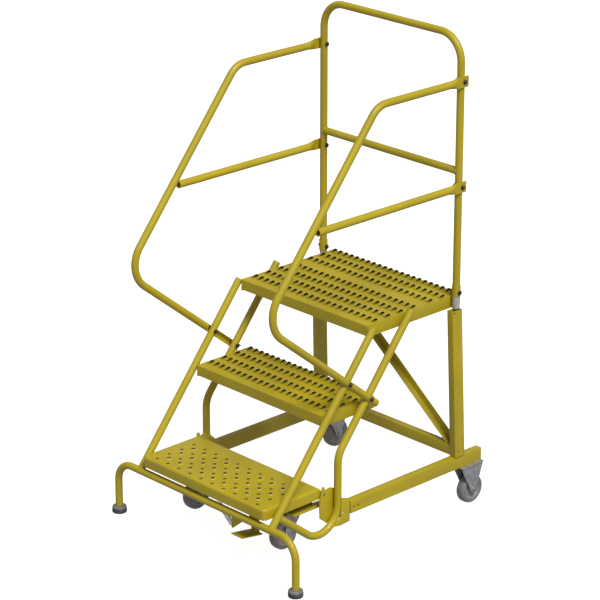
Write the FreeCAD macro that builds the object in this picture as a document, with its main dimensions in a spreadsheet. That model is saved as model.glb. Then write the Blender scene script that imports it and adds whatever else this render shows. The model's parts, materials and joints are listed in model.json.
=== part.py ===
import FreeCAD, Part
import math
import os

import Sketcher

# A rolling ladder stand with three treads: two feet in front, two casters behind, and a pair of
# swivel casters on a hinged frame under the lowest tread.
# +X is the user's right, +Y is the back of the stand, +Z is up.  The origin is on the floor.

V = FreeCAD.Vector
doc = FreeCAD.newDocument("ladder_stand")
sheet = doc.addObject("Spreadsheet::Sheet", "sizes")

SIZES = [
    # tube and sheet stock
    ("tube_od", 25.4), ("tube_wall", 2.0), ("box_deep", 45.0), ("box_wide", 25.0), ("box_wall", 2.0),
    ("sheet_t", 2.5), ("plate_t", 4.4), ("fit_gap", 0.3), ("hole_play", 0.5),
    # treads
    ("rise", 254.0), ("going", 203.5), ("tread_width", 592.0), ("tread_flange", 38.0),
    ("plank_depth", 240.0), ("rear_plank_depth", 195.0), ("nosing", 14.0), ("end_plate", 3.0),
    ("pan_depth", 250.0), ("pan_front", 481.0), ("pan_width", 592.0), ("pan_bend", 9.0),
    # pressed teeth of the serrated planks and holes of the lowest tread
    ("tooth_pitch", 26.9), ("tooth_long", 24.0), ("tooth_deep", 13.0), ("tooth_high", 7.0),
    ("row_pitch", 58.7), ("row_front", 47.0), ("row_rear", 17.0), ("rear_row_front", 62.5),
    ("pan_pitch", 54.4), ("pan_row", 21.3), ("pan_hole", 10.0), ("pan_button", 12.0),
    # front legs
    ("front_y", 471.5), ("front_z", 190.0), ("foot_x", 432.7), ("leg_bend", 70.0),
    ("foot_od", 50.0), ("pad_high", 14.0), ("cup_high", 12.0), ("sole_t", 6.0),
    # stringers
    ("stringer_x", 318.5), ("stringer_gap", 160.2), ("rear_up_y", 175.0), ("rear_top_over", 11.0),
    ("knee_bend", 90.0), ("loop_bend", 84.0), ("loop_low", 104.8), ("loop_rise", 0.79),
    # base
    ("rail_x", 327.0), ("rail_z", 147.0), ("rail_front", 136.0), ("rail_back", 488.0),
    ("post_top_x", 322.0), ("post_foot_x", 330.0), ("post_top_y", 358.5), ("post_foot_y", 378.6),
    ("post_top_z", 722.0), ("cross_high", 38.0), ("cross_lift", 4.0), ("brace_leg", 25.0),
    ("brace_t", 3.0),
    # guard rail and handrails
    ("guard_x", 314.6), ("guard_y", 372.0), ("guard_top", 1650.0), ("guard_mid", 1197.0),
    ("guard_bend", 90.0), ("guard_foot", 800.0), ("stub_od", 25.4), ("swage_od", 29.4),
    ("swage_high", 34.0),
    ("hand_x", 326.4), ("hand_low_y", 11.0), ("hand_low_z", 497.0), ("hand_knee_y", 507.4),
    ("hand_knee_z", 895.5), ("hand_top_y", 16.5), ("hand_top_z", 1501.0), ("hand_mid_z", 1146.0),
    ("hand_bend", 98.0), ("hand_top_bend", 80.0), ("tab_t", 5.0), ("tab_high", 36.0),
    ("tab_long", 46.0), ("squeeze", 34.0), ("open_lead", 30.0),
    # bolts
    ("bolt_d", 8.0), ("head_af", 13.0), ("head_high", 5.3), ("nut_high", 6.5),
    # hinged tread and caster frame
    ("pan_pin_y", 224.0), ("pan_pin_z", 230.0), ("pin_d", 10.0), ("bracket_x", 301.0),
    ("rod_y", 160.0), ("rod_z", 190.0), ("rod_d", 12.0), ("eye_od", 24.0), ("eye_long", 28.0),
    ("frame_t", 6.0), ("frame_z", 181.0), ("arm_x", 270.0), ("arm_wide", 30.0),
    ("cross_front", 338.0), ("cross_back", 232.0), ("tongue_x", 164.0), ("tongue_wide", 64.0),
    ("tongue_front", 430.0), ("pedal_wide", 52.0), ("pedal_pin_y", 398.0), ("pedal_pin_z", 163.0),
    ("pedal_front", 478.0), ("pedal_front_z", 118.0), ("pedal_back", 388.0), ("pedal_t", 4.0),
    ("pedal_slope", 0.158),
    # casters
    ("wheel_d", 101.6), ("wheel_w", 32.0), ("tread_t", 15.0), ("axle_d", 9.5), ("hub_w", 36.0),
    ("fork_t", 3.0), ("fork_gap", 1.0), ("rear_wheel_y", 445.7), ("rear_plate_y", 438.0),
    ("rear_plate_long", 104.0), ("swivel_x", 212.0), ("swivel_y", 284.0), ("trail", 35.0),
    ("front_axle_z", 91.0), ("race_od", 52.0), ("race_high", 14.0), ("top_plate_t", 4.0),
    # lug and spring under the front tube
    ("lug_x", 125.0), ("lug_long", 60.0), ("lug_low", 132.0), ("lug_t", 5.0),
    ("spring_od", 17.0), ("spring_wire", 2.6), ("spring_long", 84.0), ("spring_turns", 18.0),
]
for row, (alias, number) in enumerate(SIZES, start=1):
    sheet.set("A%d" % row, alias)
    sheet.set("B%d" % row, "%g" % number)
    sheet.setAlias("B%d" % row, alias)
doc.recompute()


def size(alias):
    return float(sheet.get(alias))


# Positions that follow from the sizes.
TUBE_R = size("tube_od") / 2.0
GAP = size("fit_gap")
LEAN = size("going") / size("rise")
RISE = size("rise")
FRONT = (-size("front_y"), size("front_z"))
RAIL_TOP = size("rail_z") + size("box_deep")
PLATFORM_Z = 3.0 * RISE


def front_line(z):
    """y of the front stringers' centre line at height z."""
    return FRONT[0] + LEAN * (z - FRONT[1])


def rear_line(z):
    return front_line(z) + size("stringer_gap")


def unit(a, b):
    run = math.hypot(b[0] - a[0], b[1] - a[1])
    return ((b[0] - a[0]) / run, (b[1] - a[1]) / run)


def meet(p, d, q, e):
    """Crossing of the line through p along d with the line through q along e."""
    det = d[0] * -e[1] + e[0] * d[1]
    s = ((q[0] - p[0]) * -e[1] + e[0] * (q[1] - p[1])) / det
    return (p[0] + s * d[0], p[1] + s * d[1])


HAND_LOW = (-size("hand_low_y"), size("hand_low_z"))
HAND_KNEE = (-size("hand_knee_y"), size("hand_knee_z"))
HAND_TOP = (-size("hand_top_y"), size("hand_top_z"))
HAND_DIR = unit(HAND_KNEE, HAND_LOW)
STRINGER_DIR = unit((front_line(0.0), 0.0), (front_line(RISE), RISE))
MOUNT_FRONT = meet(HAND_LOW, HAND_DIR, FRONT, STRINGER_DIR)
MOUNT_REAR = meet(HAND_LOW, HAND_DIR, (rear_line(0.0), 0.0), STRINGER_DIR)
SIDES = (("right", 1.0), ("left", -1.0))


# ---------------------------------------------------------------- helpers
def bind(obj, prop, formula):
    """Tie one property to the sheet; words in the formula that are aliases become sheet cells."""
    words = []
    for word in formula.replace("(", " ( ").replace(")", " ) ").split():
        words.append("sizes." + word if word in ALIASES else word)
    obj.setExpression(prop, " ".join(words))


ALIASES = set(alias for alias, number in SIZES)
PARTS = []


def new_body(name, at=(0.0, 0.0, 0.0), side=0.0, x_size=None):
    body = doc.addObject("PartDesign::Body", name)
    body.Label = name
    body.Placement = FreeCAD.Placement(V(*at), FreeCAD.Rotation())
    if x_size:
        bind(body, "Placement.Base.x", "%g * ( %s )" % (side, x_size))
    PARTS.append(body)
    return body


def new_sketch(body, name, role, offset=0.0, spot=None):
    """Sketch on one of the body's own planes, moved along its normal, or square to spot's direction."""
    sketch = body.newObject("Sketcher::SketchObject", body.Name + "_" + name)
    plane = [f for f in body.Origin.OriginFeatures if f.Role == role][0]
    sketch.AttachmentSupport = [(plane, "")]
    sketch.MapMode = "FlatFace"
    if spot:
        turn = FreeCAD.Rotation(V(0, 0, 1), spot[1])
        sketch.AttachmentOffset = FreeCAD.Placement(spot[0], turn)
    elif offset:
        sketch.AttachmentOffset = FreeCAD.Placement(V(0, 0, offset), FreeCAD.Rotation())
    return sketch


def closed(sketch, points):
    """Closed outline through the points, held where it is drawn."""
    lines = []
    for a, b in zip(points, points[1:] + points[:1]):
        lines.append(Part.LineSegment(V(a[0], a[1], 0), V(b[0], b[1], 0)))
    first = sketch.GeometryCount
    sketch.addGeometry(lines, False)
    for i in range(len(lines)):
        sketch.addConstraint(Sketcher.Constraint("Block", first + i))


def circle(sketch, centre, formula, radius):
    """Circle with its radius tied to the sheet."""
    index = sketch.addGeometry(Part.Circle(V(centre[0], centre[1], 0), V(0, 0, 1), radius), False)
    sketch.addConstraint(Sketcher.Constraint("Radius", index, radius))
    number = sketch.ConstraintCount - 1
    bind(sketch, "Constraints[%d]" % number, formula)
    if abs(centre[0]) < 1e-9 and abs(centre[1]) < 1e-9:
        sketch.addConstraint(Sketcher.Constraint("Coincident", index, 3, -1, 1))


def pad(body, sketch, formula, midplane=False, reversed_=False):
    feature = body.newObject("PartDesign::Pad", sketch.Name + "_pad")
    feature.Profile = sketch
    bind(feature, "Length", formula)
    feature.Midplane = midplane
    feature.Reversed = reversed_
    sketch.Visibility = False
    return feature


def pocket(body, sketch, length, midplane=False, reversed_=False):
    doc.recompute()
    before = body.Shape.Volume
    feature = body.newObject("PartDesign::Pocket", sketch.Name + "_cut")
    feature.Profile = sketch
    feature.Length = length
    feature.Midplane = midplane
    feature.Reversed = reversed_
    doc.recompute()
    if not body.Shape.Volume < before - 1.0:
        raise RuntimeError("nothing was cut by " + feature.Name)
    return feature


def drill(body, name, centre, axis, formula, length):
    """Round cut centred on a point of the body's own frame, its radius tied to the sheet."""
    doc.recompute()
    before = body.Shape.Volume
    cut = body.newObject("PartDesign::SubtractiveCylinder", body.Name + "_" + name)
    bind(cut, "Radius", formula)
    cut.Height = length
    axis = V(*axis)
    axis.normalize()
    start = V(*centre) - axis * (length / 2.0)
    cut.Placement = FreeCAD.Placement(start, FreeCAD.Rotation(V(0, 0, 1), axis))
    doc.recompute()
    if not body.Shape.Volume < before - 0.1:
        raise RuntimeError("nothing was cut by " + cut.Name)


def dress(body, kind, name, formula, wanted):
    """Fillet or chamfer on the edges whose bounding boxes are wanted."""
    doc.recompute()
    base = body.Tip
    edges = ["Edge%d" % (i + 1) for i, e in enumerate(body.Shape.Edges) if wanted(e.BoundBox)]
    feature = body.newObject("PartDesign::" + kind, body.Name + "_" + name)
    feature.Base = (base, edges)
    bind(feature, "Radius" if kind == "Fillet" else "Size", formula)
    doc.recompute()
    if "Invalid" in feature.State:
        raise RuntimeError("not made: " + feature.Name)


def path_pieces(points, bends):
    """Straight pieces joined by tangent arcs, one bend radius for each inner point."""
    pieces = []
    start = points[0]
    for corner, after, radius in zip(points[1:-1], points[2:], bends):
        a = unit(corner, start)
        b = unit(corner, after)
        half = math.acos(max(-1.0, min(1.0, a[0] * b[0] + a[1] * b[1]))) / 2.0
        reach = radius / math.tan(half)
        p = (corner[0] + a[0] * reach, corner[1] + a[1] * reach)
        q = (corner[0] + b[0] * reach, corner[1] + b[1] * reach)
        mid = unit((0, 0), (a[0] + b[0], a[1] + b[1]))
        away = radius / math.sin(half)
        m = (corner[0] + mid[0] * (away - radius), corner[1] + mid[1] * (away - radius))
        pieces.append(Part.LineSegment(V(start[0], start[1], 0), V(p[0], p[1], 0)))
        pieces.append(Part.Arc(V(p[0], p[1], 0), V(m[0], m[1], 0), V(q[0], q[1], 0)))
        start = q
    last = points[-1]
    pieces.append(Part.LineSegment(V(start[0], start[1], 0), V(last[0], last[1], 0)))
    return pieces


def bent_tube(body, role, points, bends, outer="tube_od / 2", inner="tube_od / 2 - tube_wall"):
    """Hollow round tube along a bent line drawn on the body's YZ or XZ plane."""
    path = new_sketch(body, "path", role)
    path.addGeometry(path_pieces(points, bends), False)
    for i in range(path.GeometryCount):
        path.addConstraint(Sketcher.Constraint("Block", i))
    run = unit(points[0], points[1])
    if role == "YZ_Plane":
        spot = (V(0, points[0][0], points[0][1]), V(0, run[0], run[1]))
    else:
        spot = (V(points[0][0], 0, points[0][1]), V(run[0], 0, run[1]))
    ring = new_sketch(body, "ring", "XY_Plane", spot=spot)
    circle(ring, (0, 0), outer, TUBE_R)
    circle(ring, (0, 0), inner, TUBE_R - size("tube_wall"))
    doc.recompute()
    pipe = body.newObject("PartDesign::AdditivePipe", body.Name + "_pipe")
    pipe.Profile = ring
    pipe.Spine = (path, ["Edge%d" % (i + 1) for i in range(path.GeometryCount)])
    doc.recompute()
    return pipe


def slab(body, name, role, points, formula, offset=0.0, midplane=False, reversed_=False):
    """Plate of any outline on one of the body's planes."""
    sketch = new_sketch(body, name, role, offset)
    closed(sketch, points)
    return pad(body, sketch, formula, midplane, reversed_)


def rectangle(u0, u1, v0, v1):
    return [(u0, v0), (u1, v0), (u1, v1), (u0, v1)]


# ---------------------------------------------------------------- front legs and feet
legs = new_body("front_legs", (0.0, FRONT[0], 0.0))
LEG_FOOT = size("sole_t")
bent_tube(legs, "XZ_Plane",
          [(-size("foot_x"), LEG_FOOT), (-size("foot_x"), FRONT[1]),
           (size("foot_x"), FRONT[1]), (size("foot_x"), LEG_FOOT)],
          [size("leg_bend"), size("leg_bend")])

for side_name, side in SIDES:
    foot_at = (0.0, FRONT[0], 0.0)
    pad_body = new_body("foot_pad_" + side_name, foot_at, side, "foot_x")
    sole = new_sketch(pad_body, "sole", "XY_Plane")
    circle(sole, (0, 0), "foot_od / 2", size("foot_od") / 2.0)
    pad(pad_body, sole, "pad_high")
    drill(pad_body, "socket", (0, 0, LEG_FOOT - GAP + 20.0), (0, 0, 1), "tube_od / 2 + fit_gap", 40.0)
    dress(pad_body, "Fillet", "round", "4",
          lambda box: box.ZMax < 0.01 and box.XLength > size("foot_od") - 1.0)
    cup = new_body("foot_cup_" + side_name, (0.0, FRONT[0], size("pad_high") + GAP), side, "foot_x")
    ring = new_sketch(cup, "ring", "XY_Plane")
    circle(ring, (0, 0), "foot_od / 2 - 1", size("foot_od") / 2.0 - 1.0)
    circle(ring, (0, 0), "tube_od / 2 + fit_gap", TUBE_R + GAP)
    pad(cup, ring, "cup_high")
    cup_top = size("pad_high") + GAP + size("cup_high")
    dress(cup, "Chamfer", "bevel", "3",
          lambda box: box.ZMin > cup_top - 0.01 and box.XLength > size("foot_od") - 3.0)


# ---------------------------------------------------------------- stringers
def along_handrail(back, ahead, half):
    """Strip along the handrail's lower run, from back to ahead of its foot, as sketch points."""
    across = (-HAND_DIR[1], HAND_DIR[0])
    corners = []
    for u, v in ((-back, -half), (ahead, -half), (ahead, half), (-back, half)):
        corners.append((HAND_LOW[0] + u * HAND_DIR[0] + v * across[0],
                        HAND_LOW[1] + u * HAND_DIR[1] + v * across[1]))
    return corners


def notch(body, side, spot):
    """Shallow seat for the handrail in a stringer's outer side, with the bolt's hole."""
    outer = size("stringer_x") + TUBE_R + 2.0
    sketch = new_sketch(body, "notch", "YZ_Plane", side * (outer - size("stringer_x")))
    closed(sketch, along_handrail(400.0, 60.0, TUBE_R + GAP))
    pocket(body, sketch, outer - size("hand_x") + GAP, reversed_=side < 0.0)
    drill(body, "bolt_hole", (0, spot[0], spot[1]), (1, 0, 0), "( bolt_d + hole_play ) / 2", 60.0)


TOP_Z = PLATFORM_Z - 6.0
LOOP_CENTRE = (-size("rear_up_y") - size("loop_bend"), size("loop_low") + size("loop_bend"))
LOOP_DIR = unit((0.0, 0.0), (-1.0, size("loop_rise")))
LOOP_NORMAL = (-LOOP_DIR[1], LOOP_DIR[0])
if LOOP_NORMAL[1] > 0.0:
    LOOP_NORMAL = (LOOP_DIR[1], -LOOP_DIR[0])
LOOP_EDGE = (LOOP_CENTRE[0] + LOOP_NORMAL[0] * size("loop_bend"),
             LOOP_CENTRE[1] + LOOP_NORMAL[1] * size("loop_bend"))
LOOP_CORNER = meet(LOOP_EDGE, LOOP_DIR, (-size("rear_up_y"), 0.0), (0.0, 1.0))
LOOP_END = meet(LOOP_EDGE, LOOP_DIR, FRONT, STRINGER_DIR)
KNEE_Z = (-size("rear_up_y") - rear_line(0.0)) / LEAN
REAR_TOP_Z = PLATFORM_Z + size("rear_top_over")

for side_name, side in SIDES:
    front = new_body("front_stringer_" + side_name, (0, 0, 0), side, "stringer_x")
    bent_tube(front, "YZ_Plane", [FRONT, (front_line(TOP_Z), TOP_Z)], [])
    drill(front, "cope", (0, FRONT[0], FRONT[1]), (1, 0, 0), "tube_od / 2 + fit_gap", 80.0)
    notch(front, side, MOUNT_FRONT)

    rear = new_body("rear_stringer_" + side_name, (0, 0, 0), side, "stringer_x")
    bent_tube(rear, "YZ_Plane",
              [LOOP_END, LOOP_CORNER, (-size("rear_up_y"), KNEE_Z), (rear_line(REAR_TOP_Z), REAR_TOP_Z)],
              [size("loop_bend"), size("knee_bend")])
    drill(rear, "cope", (0, LOOP_END[0], LOOP_END[1]), (0, STRINGER_DIR[0], STRINGER_DIR[1]),
          "tube_od / 2 + fit_gap", 120.0)
    notch(rear, side, MOUNT_REAR)


# ---------------------------------------------------------------- serrated planks
def plank(name, y_front, depth_alias, z_top, margin_alias):
    """Channel-shaped plank with rows of pressed teeth on its top."""
    depth = size(depth_alias)
    t = size("sheet_t")
    body = new_body(name, (0.0, y_front, z_top))
    section = new_sketch(body, "section", "YZ_Plane")
    drop = -size("tread_flange")
    closed(section, [(0, drop), (t, drop), (t, -t), (depth - t, -t), (depth - t, drop),
                     (depth, drop), (depth, 0), (0, 0)])
    pad(body, section, "tread_width", midplane=True)
    doc.recompute()
    usable = depth - size(margin_alias) - size("row_rear")
    rows = 1 + int(round(usable / size("row_pitch")))
    columns = int(size("tread_width") / size("tooth_pitch"))
    lip = size("tooth_deep") * 0.35
    heel = size("tooth_deep") * 0.65
    for row in range(rows):
        start = size(margin_alias) + row * usable / (rows - 1) - size("tooth_long") / 2.0
        teeth = new_sketch(body, "teeth_%d" % row, "XZ_Plane", -start)
        for column in range(columns):
            u = (column - (columns - 1) / 2.0) * size("tooth_pitch")
            closed(teeth, [(u - heel, -t / 2.0), (u + lip, -t / 2.0), (u + lip, size("tooth_high")),
                           (u - heel, 0.0)])
        pad(body, teeth, "tooth_long", reversed_=True)
        doc.recompute()
    return body


MID_FRONT = front_line(2.0 * RISE) - size("nosing")
TOP_FRONT = front_line(PLATFORM_Z) - size("nosing")
plank("middle_tread", MID_FRONT, "plank_depth", 2.0 * RISE, "row_front")
plank("platform_front_plank", TOP_FRONT, "plank_depth", PLATFORM_Z, "row_front")
REAR_PLANK = TOP_FRONT + size("plank_depth") + 1.0
plank("platform_rear_plank", REAR_PLANK, "rear_plank_depth", PLATFORM_Z, "rear_row_front")
PLATFORM_DEEP = size("plank_depth") + 1.0 + size("rear_plank_depth")

for side_name, side in SIDES:
    for name, y_front, depth, z_top in (("middle_end_", MID_FRONT, size("plank_depth"), 2.0 * RISE),
                                        ("platform_end_", TOP_FRONT, PLATFORM_DEEP, PLATFORM_Z)):
        end = new_body(name + side_name, (0.0, y_front, z_top), side, "tread_width / 2 + fit_gap")
        slab(end, "plate", "YZ_Plane", rectangle(0.0, depth, -size("tread_flange") - 3.0, 0.0),
             "end_plate", reversed_=side < 0.0)

# ---------------------------------------------------------------- base
for side_name, side in SIDES:
    rail = new_body("side_rail_" + side_name, (0, -size("rail_front"), size("rail_z")), side, "rail_x")
    section = new_sketch(rail, "section", "XZ_Plane")
    half = size("box_wide") / 2.0
    wall = size("box_wall")
    deep = size("box_deep")
    closed(section, rectangle(-half, half, 0.0, deep))
    closed(section, rectangle(-half + wall, half - wall, wall, deep - wall))
    pad(rail, section, "rail_front + rail_back", reversed_=True)
    doc.recompute()
    for number, along in enumerate((14.0, 34.0)):
        drill(rail, "hole_%d" % number, (side * half, along, deep * 0.42), (1, 0, 0), "bolt_d / 2", 12.0)

    post = new_body("rear_post_" + side_name, (0, 0, 0))
    foot_spot = (side * size("post_foot_x"), size("post_foot_y"), RAIL_TOP + GAP)
    top_spot = (side * size("post_top_x"), size("post_top_y"), size("post_top_z"))
    for kind, shrink in (("AdditiveLoft", 0.0), ("SubtractiveLoft", size("box_wall"))):
        rings = []
        for number, spot in enumerate((foot_spot, top_spot)):
            ring = new_sketch(post, "%s_%d" % (kind, number), "XY_Plane", spot[2])
            closed(ring, rectangle(spot[0] - half + shrink, spot[0] + half - shrink,
                                   spot[1] - deep / 2.0 + shrink, spot[1] + deep / 2.0 - shrink))
            rings.append(ring)
        doc.recompute()
        loft = post.newObject("PartDesign::" + kind, post.Name + "_" + kind)
        loft.Profile = rings[0]
        loft.Sections = [rings[1]]
        loft.Ruled = True
        doc.recompute()
    drill(post, "top_hole", (side * (size("post_top_x") + half), size("post_top_y") - 14.0,
                             size("post_top_z") - 8.0), (1, 0, 0), "bolt_d / 2", 12.0)
    drill(post, "foot_hole", (side * (size("post_foot_x") + half), size("post_foot_y") - 6.0,
                              RAIL_TOP + 20.0), (1, 0, 0), "bolt_d / 2 - 1", 12.0)


def post_inner_x(z):
    share = (z - RAIL_TOP) / (size("post_top_z") - RAIL_TOP)
    centre = size("post_foot_x") + share * (size("post_top_x") - size("post_foot_x"))
    return centre - size("box_wide") / 2.0


def post_front_y(z):
    share = (z - RAIL_TOP) / (size("post_top_z") - RAIL_TOP)
    centre = size("post_foot_y") + share * (size("post_top_y") - size("post_foot_y"))
    return centre - size("box_deep") / 2.0


CROSS_Z = RAIL_TOP + size("cross_lift")
cross = new_body("rear_cross_rail", (0.0, post_front_y(CROSS_Z) + 1.0, CROSS_Z))
section = new_sketch(cross, "section", "YZ_Plane")
closed(section, rectangle(0.0, size("box_wide"), 0.0, size("cross_high")))
closed(section, rectangle(wall, size("box_wide") - wall, wall, size("cross_high") - wall))
CROSS_HALF = post_inner_x(CROSS_Z + size("cross_high")) - GAP
feature = cross.newObject("PartDesign::Pad", "rear_cross_rail_pad")
feature.Profile = section
feature.Midplane = True
feature.Length = 2.0 * CROSS_HALF

# The single diagonal brace stands on the cross rail's right end and rises to the left post.
leg = size("brace_leg")
thick = size("brace_t")
brace_y = post_front_y(CROSS_Z) + 1.0
brace_low = (CROSS_HALF - 11.0, CROSS_Z + size("cross_high") + GAP + 10.5)
brace_high = (31.0 - CROSS_HALF, PLATFORM_Z - size("tread_flange") - 16.0)
brace_run = unit(brace_low, brace_high)
brace = new_body("rear_brace", (0, 0, 0))
normal = (-brace_run[1], brace_run[0])


def brace_bar(name, near, far, low_y, deep):
    """One leg of the angle bar: a strip between two offsets from the bar's line."""
    corners = []
    for end, offset in ((brace_low, near), (brace_high, near), (brace_high, far), (brace_low, far)):
        corners.append((end[0] + normal[0] * offset, end[1] + normal[1] * offset))
    sketch = new_sketch(brace, name, "XZ_Plane", -low_y)
    closed(sketch, corners)
    feature = brace.newObject("PartDesign::Pad", brace.Name + "_" + name)
    feature.Profile = sketch
    feature.Length = deep
    feature.Reversed = True
    doc.recompute()


brace_bar("web", -leg / 2.0, leg / 2.0, brace_y + leg - thick, thick)
brace_bar("flange", leg / 2.0 - thick, leg / 2.0, brace_y, leg)

# ---------------------------------------------------------------- brackets at the rear stringers
BRACKET_OUTLINE = [(-146.0, 127.0), (-213.0, 127.0), (-240.5, 150.0), (-243.0, 203.0),
                   (-236.0, 236.0), (-231.0, 258.0), (-222.0, 258.0), (-217.0, 242.0),
                   (-208.0, 247.0), (-194.0, 248.0), (-178.0, 241.0), (-163.0, 226.0),
                   (-146.0, 209.0)]
for side_name, side in SIDES:
    inner = new_body("pivot_plate_" + side_name, (0, 0, 0), side, "bracket_x")
    slab(inner, "plate", "YZ_Plane", BRACKET_OUTLINE, "plate_t", reversed_=side < 0.0)
    drill(inner, "pan_pin", (0, -size("pan_pin_y"), size("pan_pin_z")), (1, 0, 0),
          "pin_d / 2 + 0.05", 30.0)
    drill(inner, "rod", (0, -size("rod_y"), size("rod_z")), (1, 0, 0), "rod_d / 2 + 0.05", 30.0)
    outer = new_body("rail_plate_" + side_name, (0, 0, 0), side,
                     "stringer_x + tube_od / 2 + fit_gap")
    edge = -size("rail_front") - GAP
    inside_low = size("rail_z") + size("box_wall") + 1.0
    inside_top = RAIL_TOP - size("box_wall") - 1.0
    slab(outer, "plate", "YZ_Plane",
         [(edge, 120.0), (edge - 44.0, 117.0), (edge - 74.0, 122.0), (edge - 53.0, 134.0),
          (edge - 40.0, 148.0), (edge - 36.0, 213.0), (edge - 8.0, 204.0), (edge, 196.0),
          (edge, inside_top), (edge + 46.0, inside_top),
          (edge + 46.0, inside_low), (edge, inside_low)],
         "plate_t", reversed_=side < 0.0)
    drill(outer, "hole", (0, edge - 29.0, 158.0), (1, 0, 0), "bolt_d / 2", 30.0)

# ---------------------------------------------------------------- guard rail
GUARD_FOOT = size("guard_foot")
guard = new_body("guard_rail", (0.0, size("guard_y"), 0.0))
GX = size("guard_x")
bent_tube(guard, "XZ_Plane",
          [(-GX, GUARD_FOOT), (-GX, size("guard_top")), (GX, size("guard_top")), (GX, GUARD_FOOT)],
          [size("guard_bend"), size("guard_bend")])
for side_name, side in SIDES:
    swage = new_sketch(guard, "swage_" + side_name, "XY_Plane", GUARD_FOOT - size("swage_high"))
    for formula, radius in (("swage_od / 2", size("swage_od") / 2.0),
                            ("stub_od / 2 + fit_gap", size("stub_od") / 2.0 + GAP)):
        index = swage.addGeometry(Part.Circle(V(side * GX, 0, 0), V(0, 0, 1), radius), False)
        swage.addConstraint(Sketcher.Constraint("Radius", index, radius))
        bind(swage, "Constraints[%d]" % (swage.ConstraintCount - 1), formula)
    pad(guard, swage, "swage_high")
    doc.recompute()
    collar = new_sketch(guard, "collar_" + side_name, "XY_Plane", GUARD_FOOT - GAP)
    for radius in (size("swage_od") / 2.0, TUBE_R - size("tube_wall")):
        collar.addGeometry(Part.Circle(V(side * GX, 0, 0), V(0, 0, 1), radius), False)
    feature = guard.newObject("PartDesign::Pad", "guard_collar_" + side_name)
    feature.Profile = collar
    feature.Length = 3.0
    doc.recompute()
    STUB_BOLT_Z = GUARD_FOOT - size("swage_high") * 0.6
    drill(guard, "stub_bolt_" + side_name, (side * GX, 0, STUB_BOLT_Z), (1, 0, 0),
          "( bolt_d + hole_play ) / 2", 50.0)
    for number, z in enumerate((HAND_TOP[1], size("hand_mid_z"))):
        drill(guard, "tab_bolt_%s_%d" % (side_name, number), (side * GX, 0, z), (1, 0, 0),
              "( bolt_d + hole_play ) / 2", 50.0)
    stub = new_body("guard_stub_" + side_name, (0, size("guard_y"), size("post_top_z") + GAP), side,
                    "guard_x")
    ring = new_sketch(stub, "ring", "XY_Plane")
    circle(ring, (0, 0), "stub_od / 2", size("stub_od") / 2.0)
    circle(ring, (0, 0), "stub_od / 2 - tube_wall", size("stub_od") / 2.0 - size("tube_wall"))
    pad(stub, ring, "guard_foot - post_top_z - 2 * fit_gap - 1")
    drill(stub, "bolt", (0, 0, STUB_BOLT_Z - size("post_top_z") - GAP), (1, 0, 0),
          "( bolt_d + hole_play ) / 2", 50.0)

mid = new_body("guard_mid_rail", (0.0, size("guard_y"), size("guard_mid")))
ring = new_sketch(mid, "ring", "YZ_Plane")
circle(ring, (0, 0), "tube_od / 2", TUBE_R)
circle(ring, (0, 0), "tube_od / 2 - tube_wall", TUBE_R - size("tube_wall"))
pad(mid, ring, "2 * guard_x", midplane=True)
for side_name, side in SIDES:
    drill(mid, "cope_" + side_name, (side * GX, 0, 0), (0, 0, 1), "tube_od / 2 + fit_gap", 60.0)


# ---------------------------------------------------------------- handrails
TAB_BACK = size("guard_y") + size("tab_high") / 2.0
TAB_FRONT = TAB_BACK - size("tab_long")
TUBE_BACK = TAB_FRONT - size("squeeze")


TAB_SHIFT = size("guard_x") + TUBE_R + size("tab_t") / 2.0 + GAP - size("hand_x")


def flat_end(body, side, z):
    """Tube end pressed flat into a bolting tab that lies against the guard rail's leg."""
    round_ring = new_sketch(body, "press_round", "XZ_Plane", -TUBE_BACK)
    circle(round_ring, (0, z), "tube_od / 2", TUBE_R)
    flat_ring = new_sketch(body, "press_flat", "XZ_Plane", -TAB_FRONT)
    half_t = size("tab_t") / 2.0
    half_h = size("tab_high") / 2.0
    middle = side * TAB_SHIFT
    closed(flat_ring, rectangle(middle - half_t, middle + half_t, z - half_h, z + half_h))
    doc.recompute()
    loft = body.newObject("PartDesign::AdditiveLoft", body.Name + "_press")
    loft.Profile = round_ring
    loft.Sections = [flat_ring]
    doc.recompute()
    tab = new_sketch(body, "tab", "XZ_Plane", -TAB_FRONT)
    closed(tab, rectangle(middle - half_t, middle + half_t, z - half_h, z + half_h))
    pad(body, tab, "tab_long", reversed_=True)
    doc.recompute()
    drill(body, "tab_hole", (0, size("guard_y"), z), (1, 0, 0), "( bolt_d + hole_play ) / 2", 40.0)


SLANT = unit(HAND_KNEE, HAND_TOP)
for side_name, side in SIDES:
    hand = new_body("handrail_" + side_name, (0, 0, 0), side, "hand_x")
    bent_tube(hand, "YZ_Plane", [HAND_LOW, HAND_KNEE, HAND_TOP, (TUBE_BACK, HAND_TOP[1])],
              [size("hand_bend"), size("hand_top_bend")])
    flat_end(hand, side, HAND_TOP[1])
    open_side = new_sketch(hand, "open_side", "YZ_Plane")
    closed(open_side, along_handrail(math.dist(MOUNT_FRONT, HAND_LOW) + size("open_lead"), 20.0,
                                     TUBE_R + 1.0))
    pocket(hand, open_side, TUBE_R + 2.0, reversed_=side < 0.0)
    for number, spot in enumerate((MOUNT_FRONT, MOUNT_REAR)):
        drill(hand, "bolt_%d" % number, (0, spot[0], spot[1]), (1, 0, 0),
              "( bolt_d + hole_play ) / 2", 60.0)

    rail_mid = new_body("handrail_mid_" + side_name, (0, 0, 0), side, "hand_x")
    z_mid = size("hand_mid_z")
    slant_y = HAND_KNEE[0] + SLANT[0] / SLANT[1] * (z_mid + TUBE_R - HAND_KNEE[1])
    start_y = slant_y + TUBE_R / SLANT[1] + 3.0 * GAP
    bent_tube(rail_mid, "YZ_Plane", [(start_y, z_mid), (TUBE_BACK, z_mid)], [])
    flat_end(rail_mid, side, z_mid)


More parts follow.
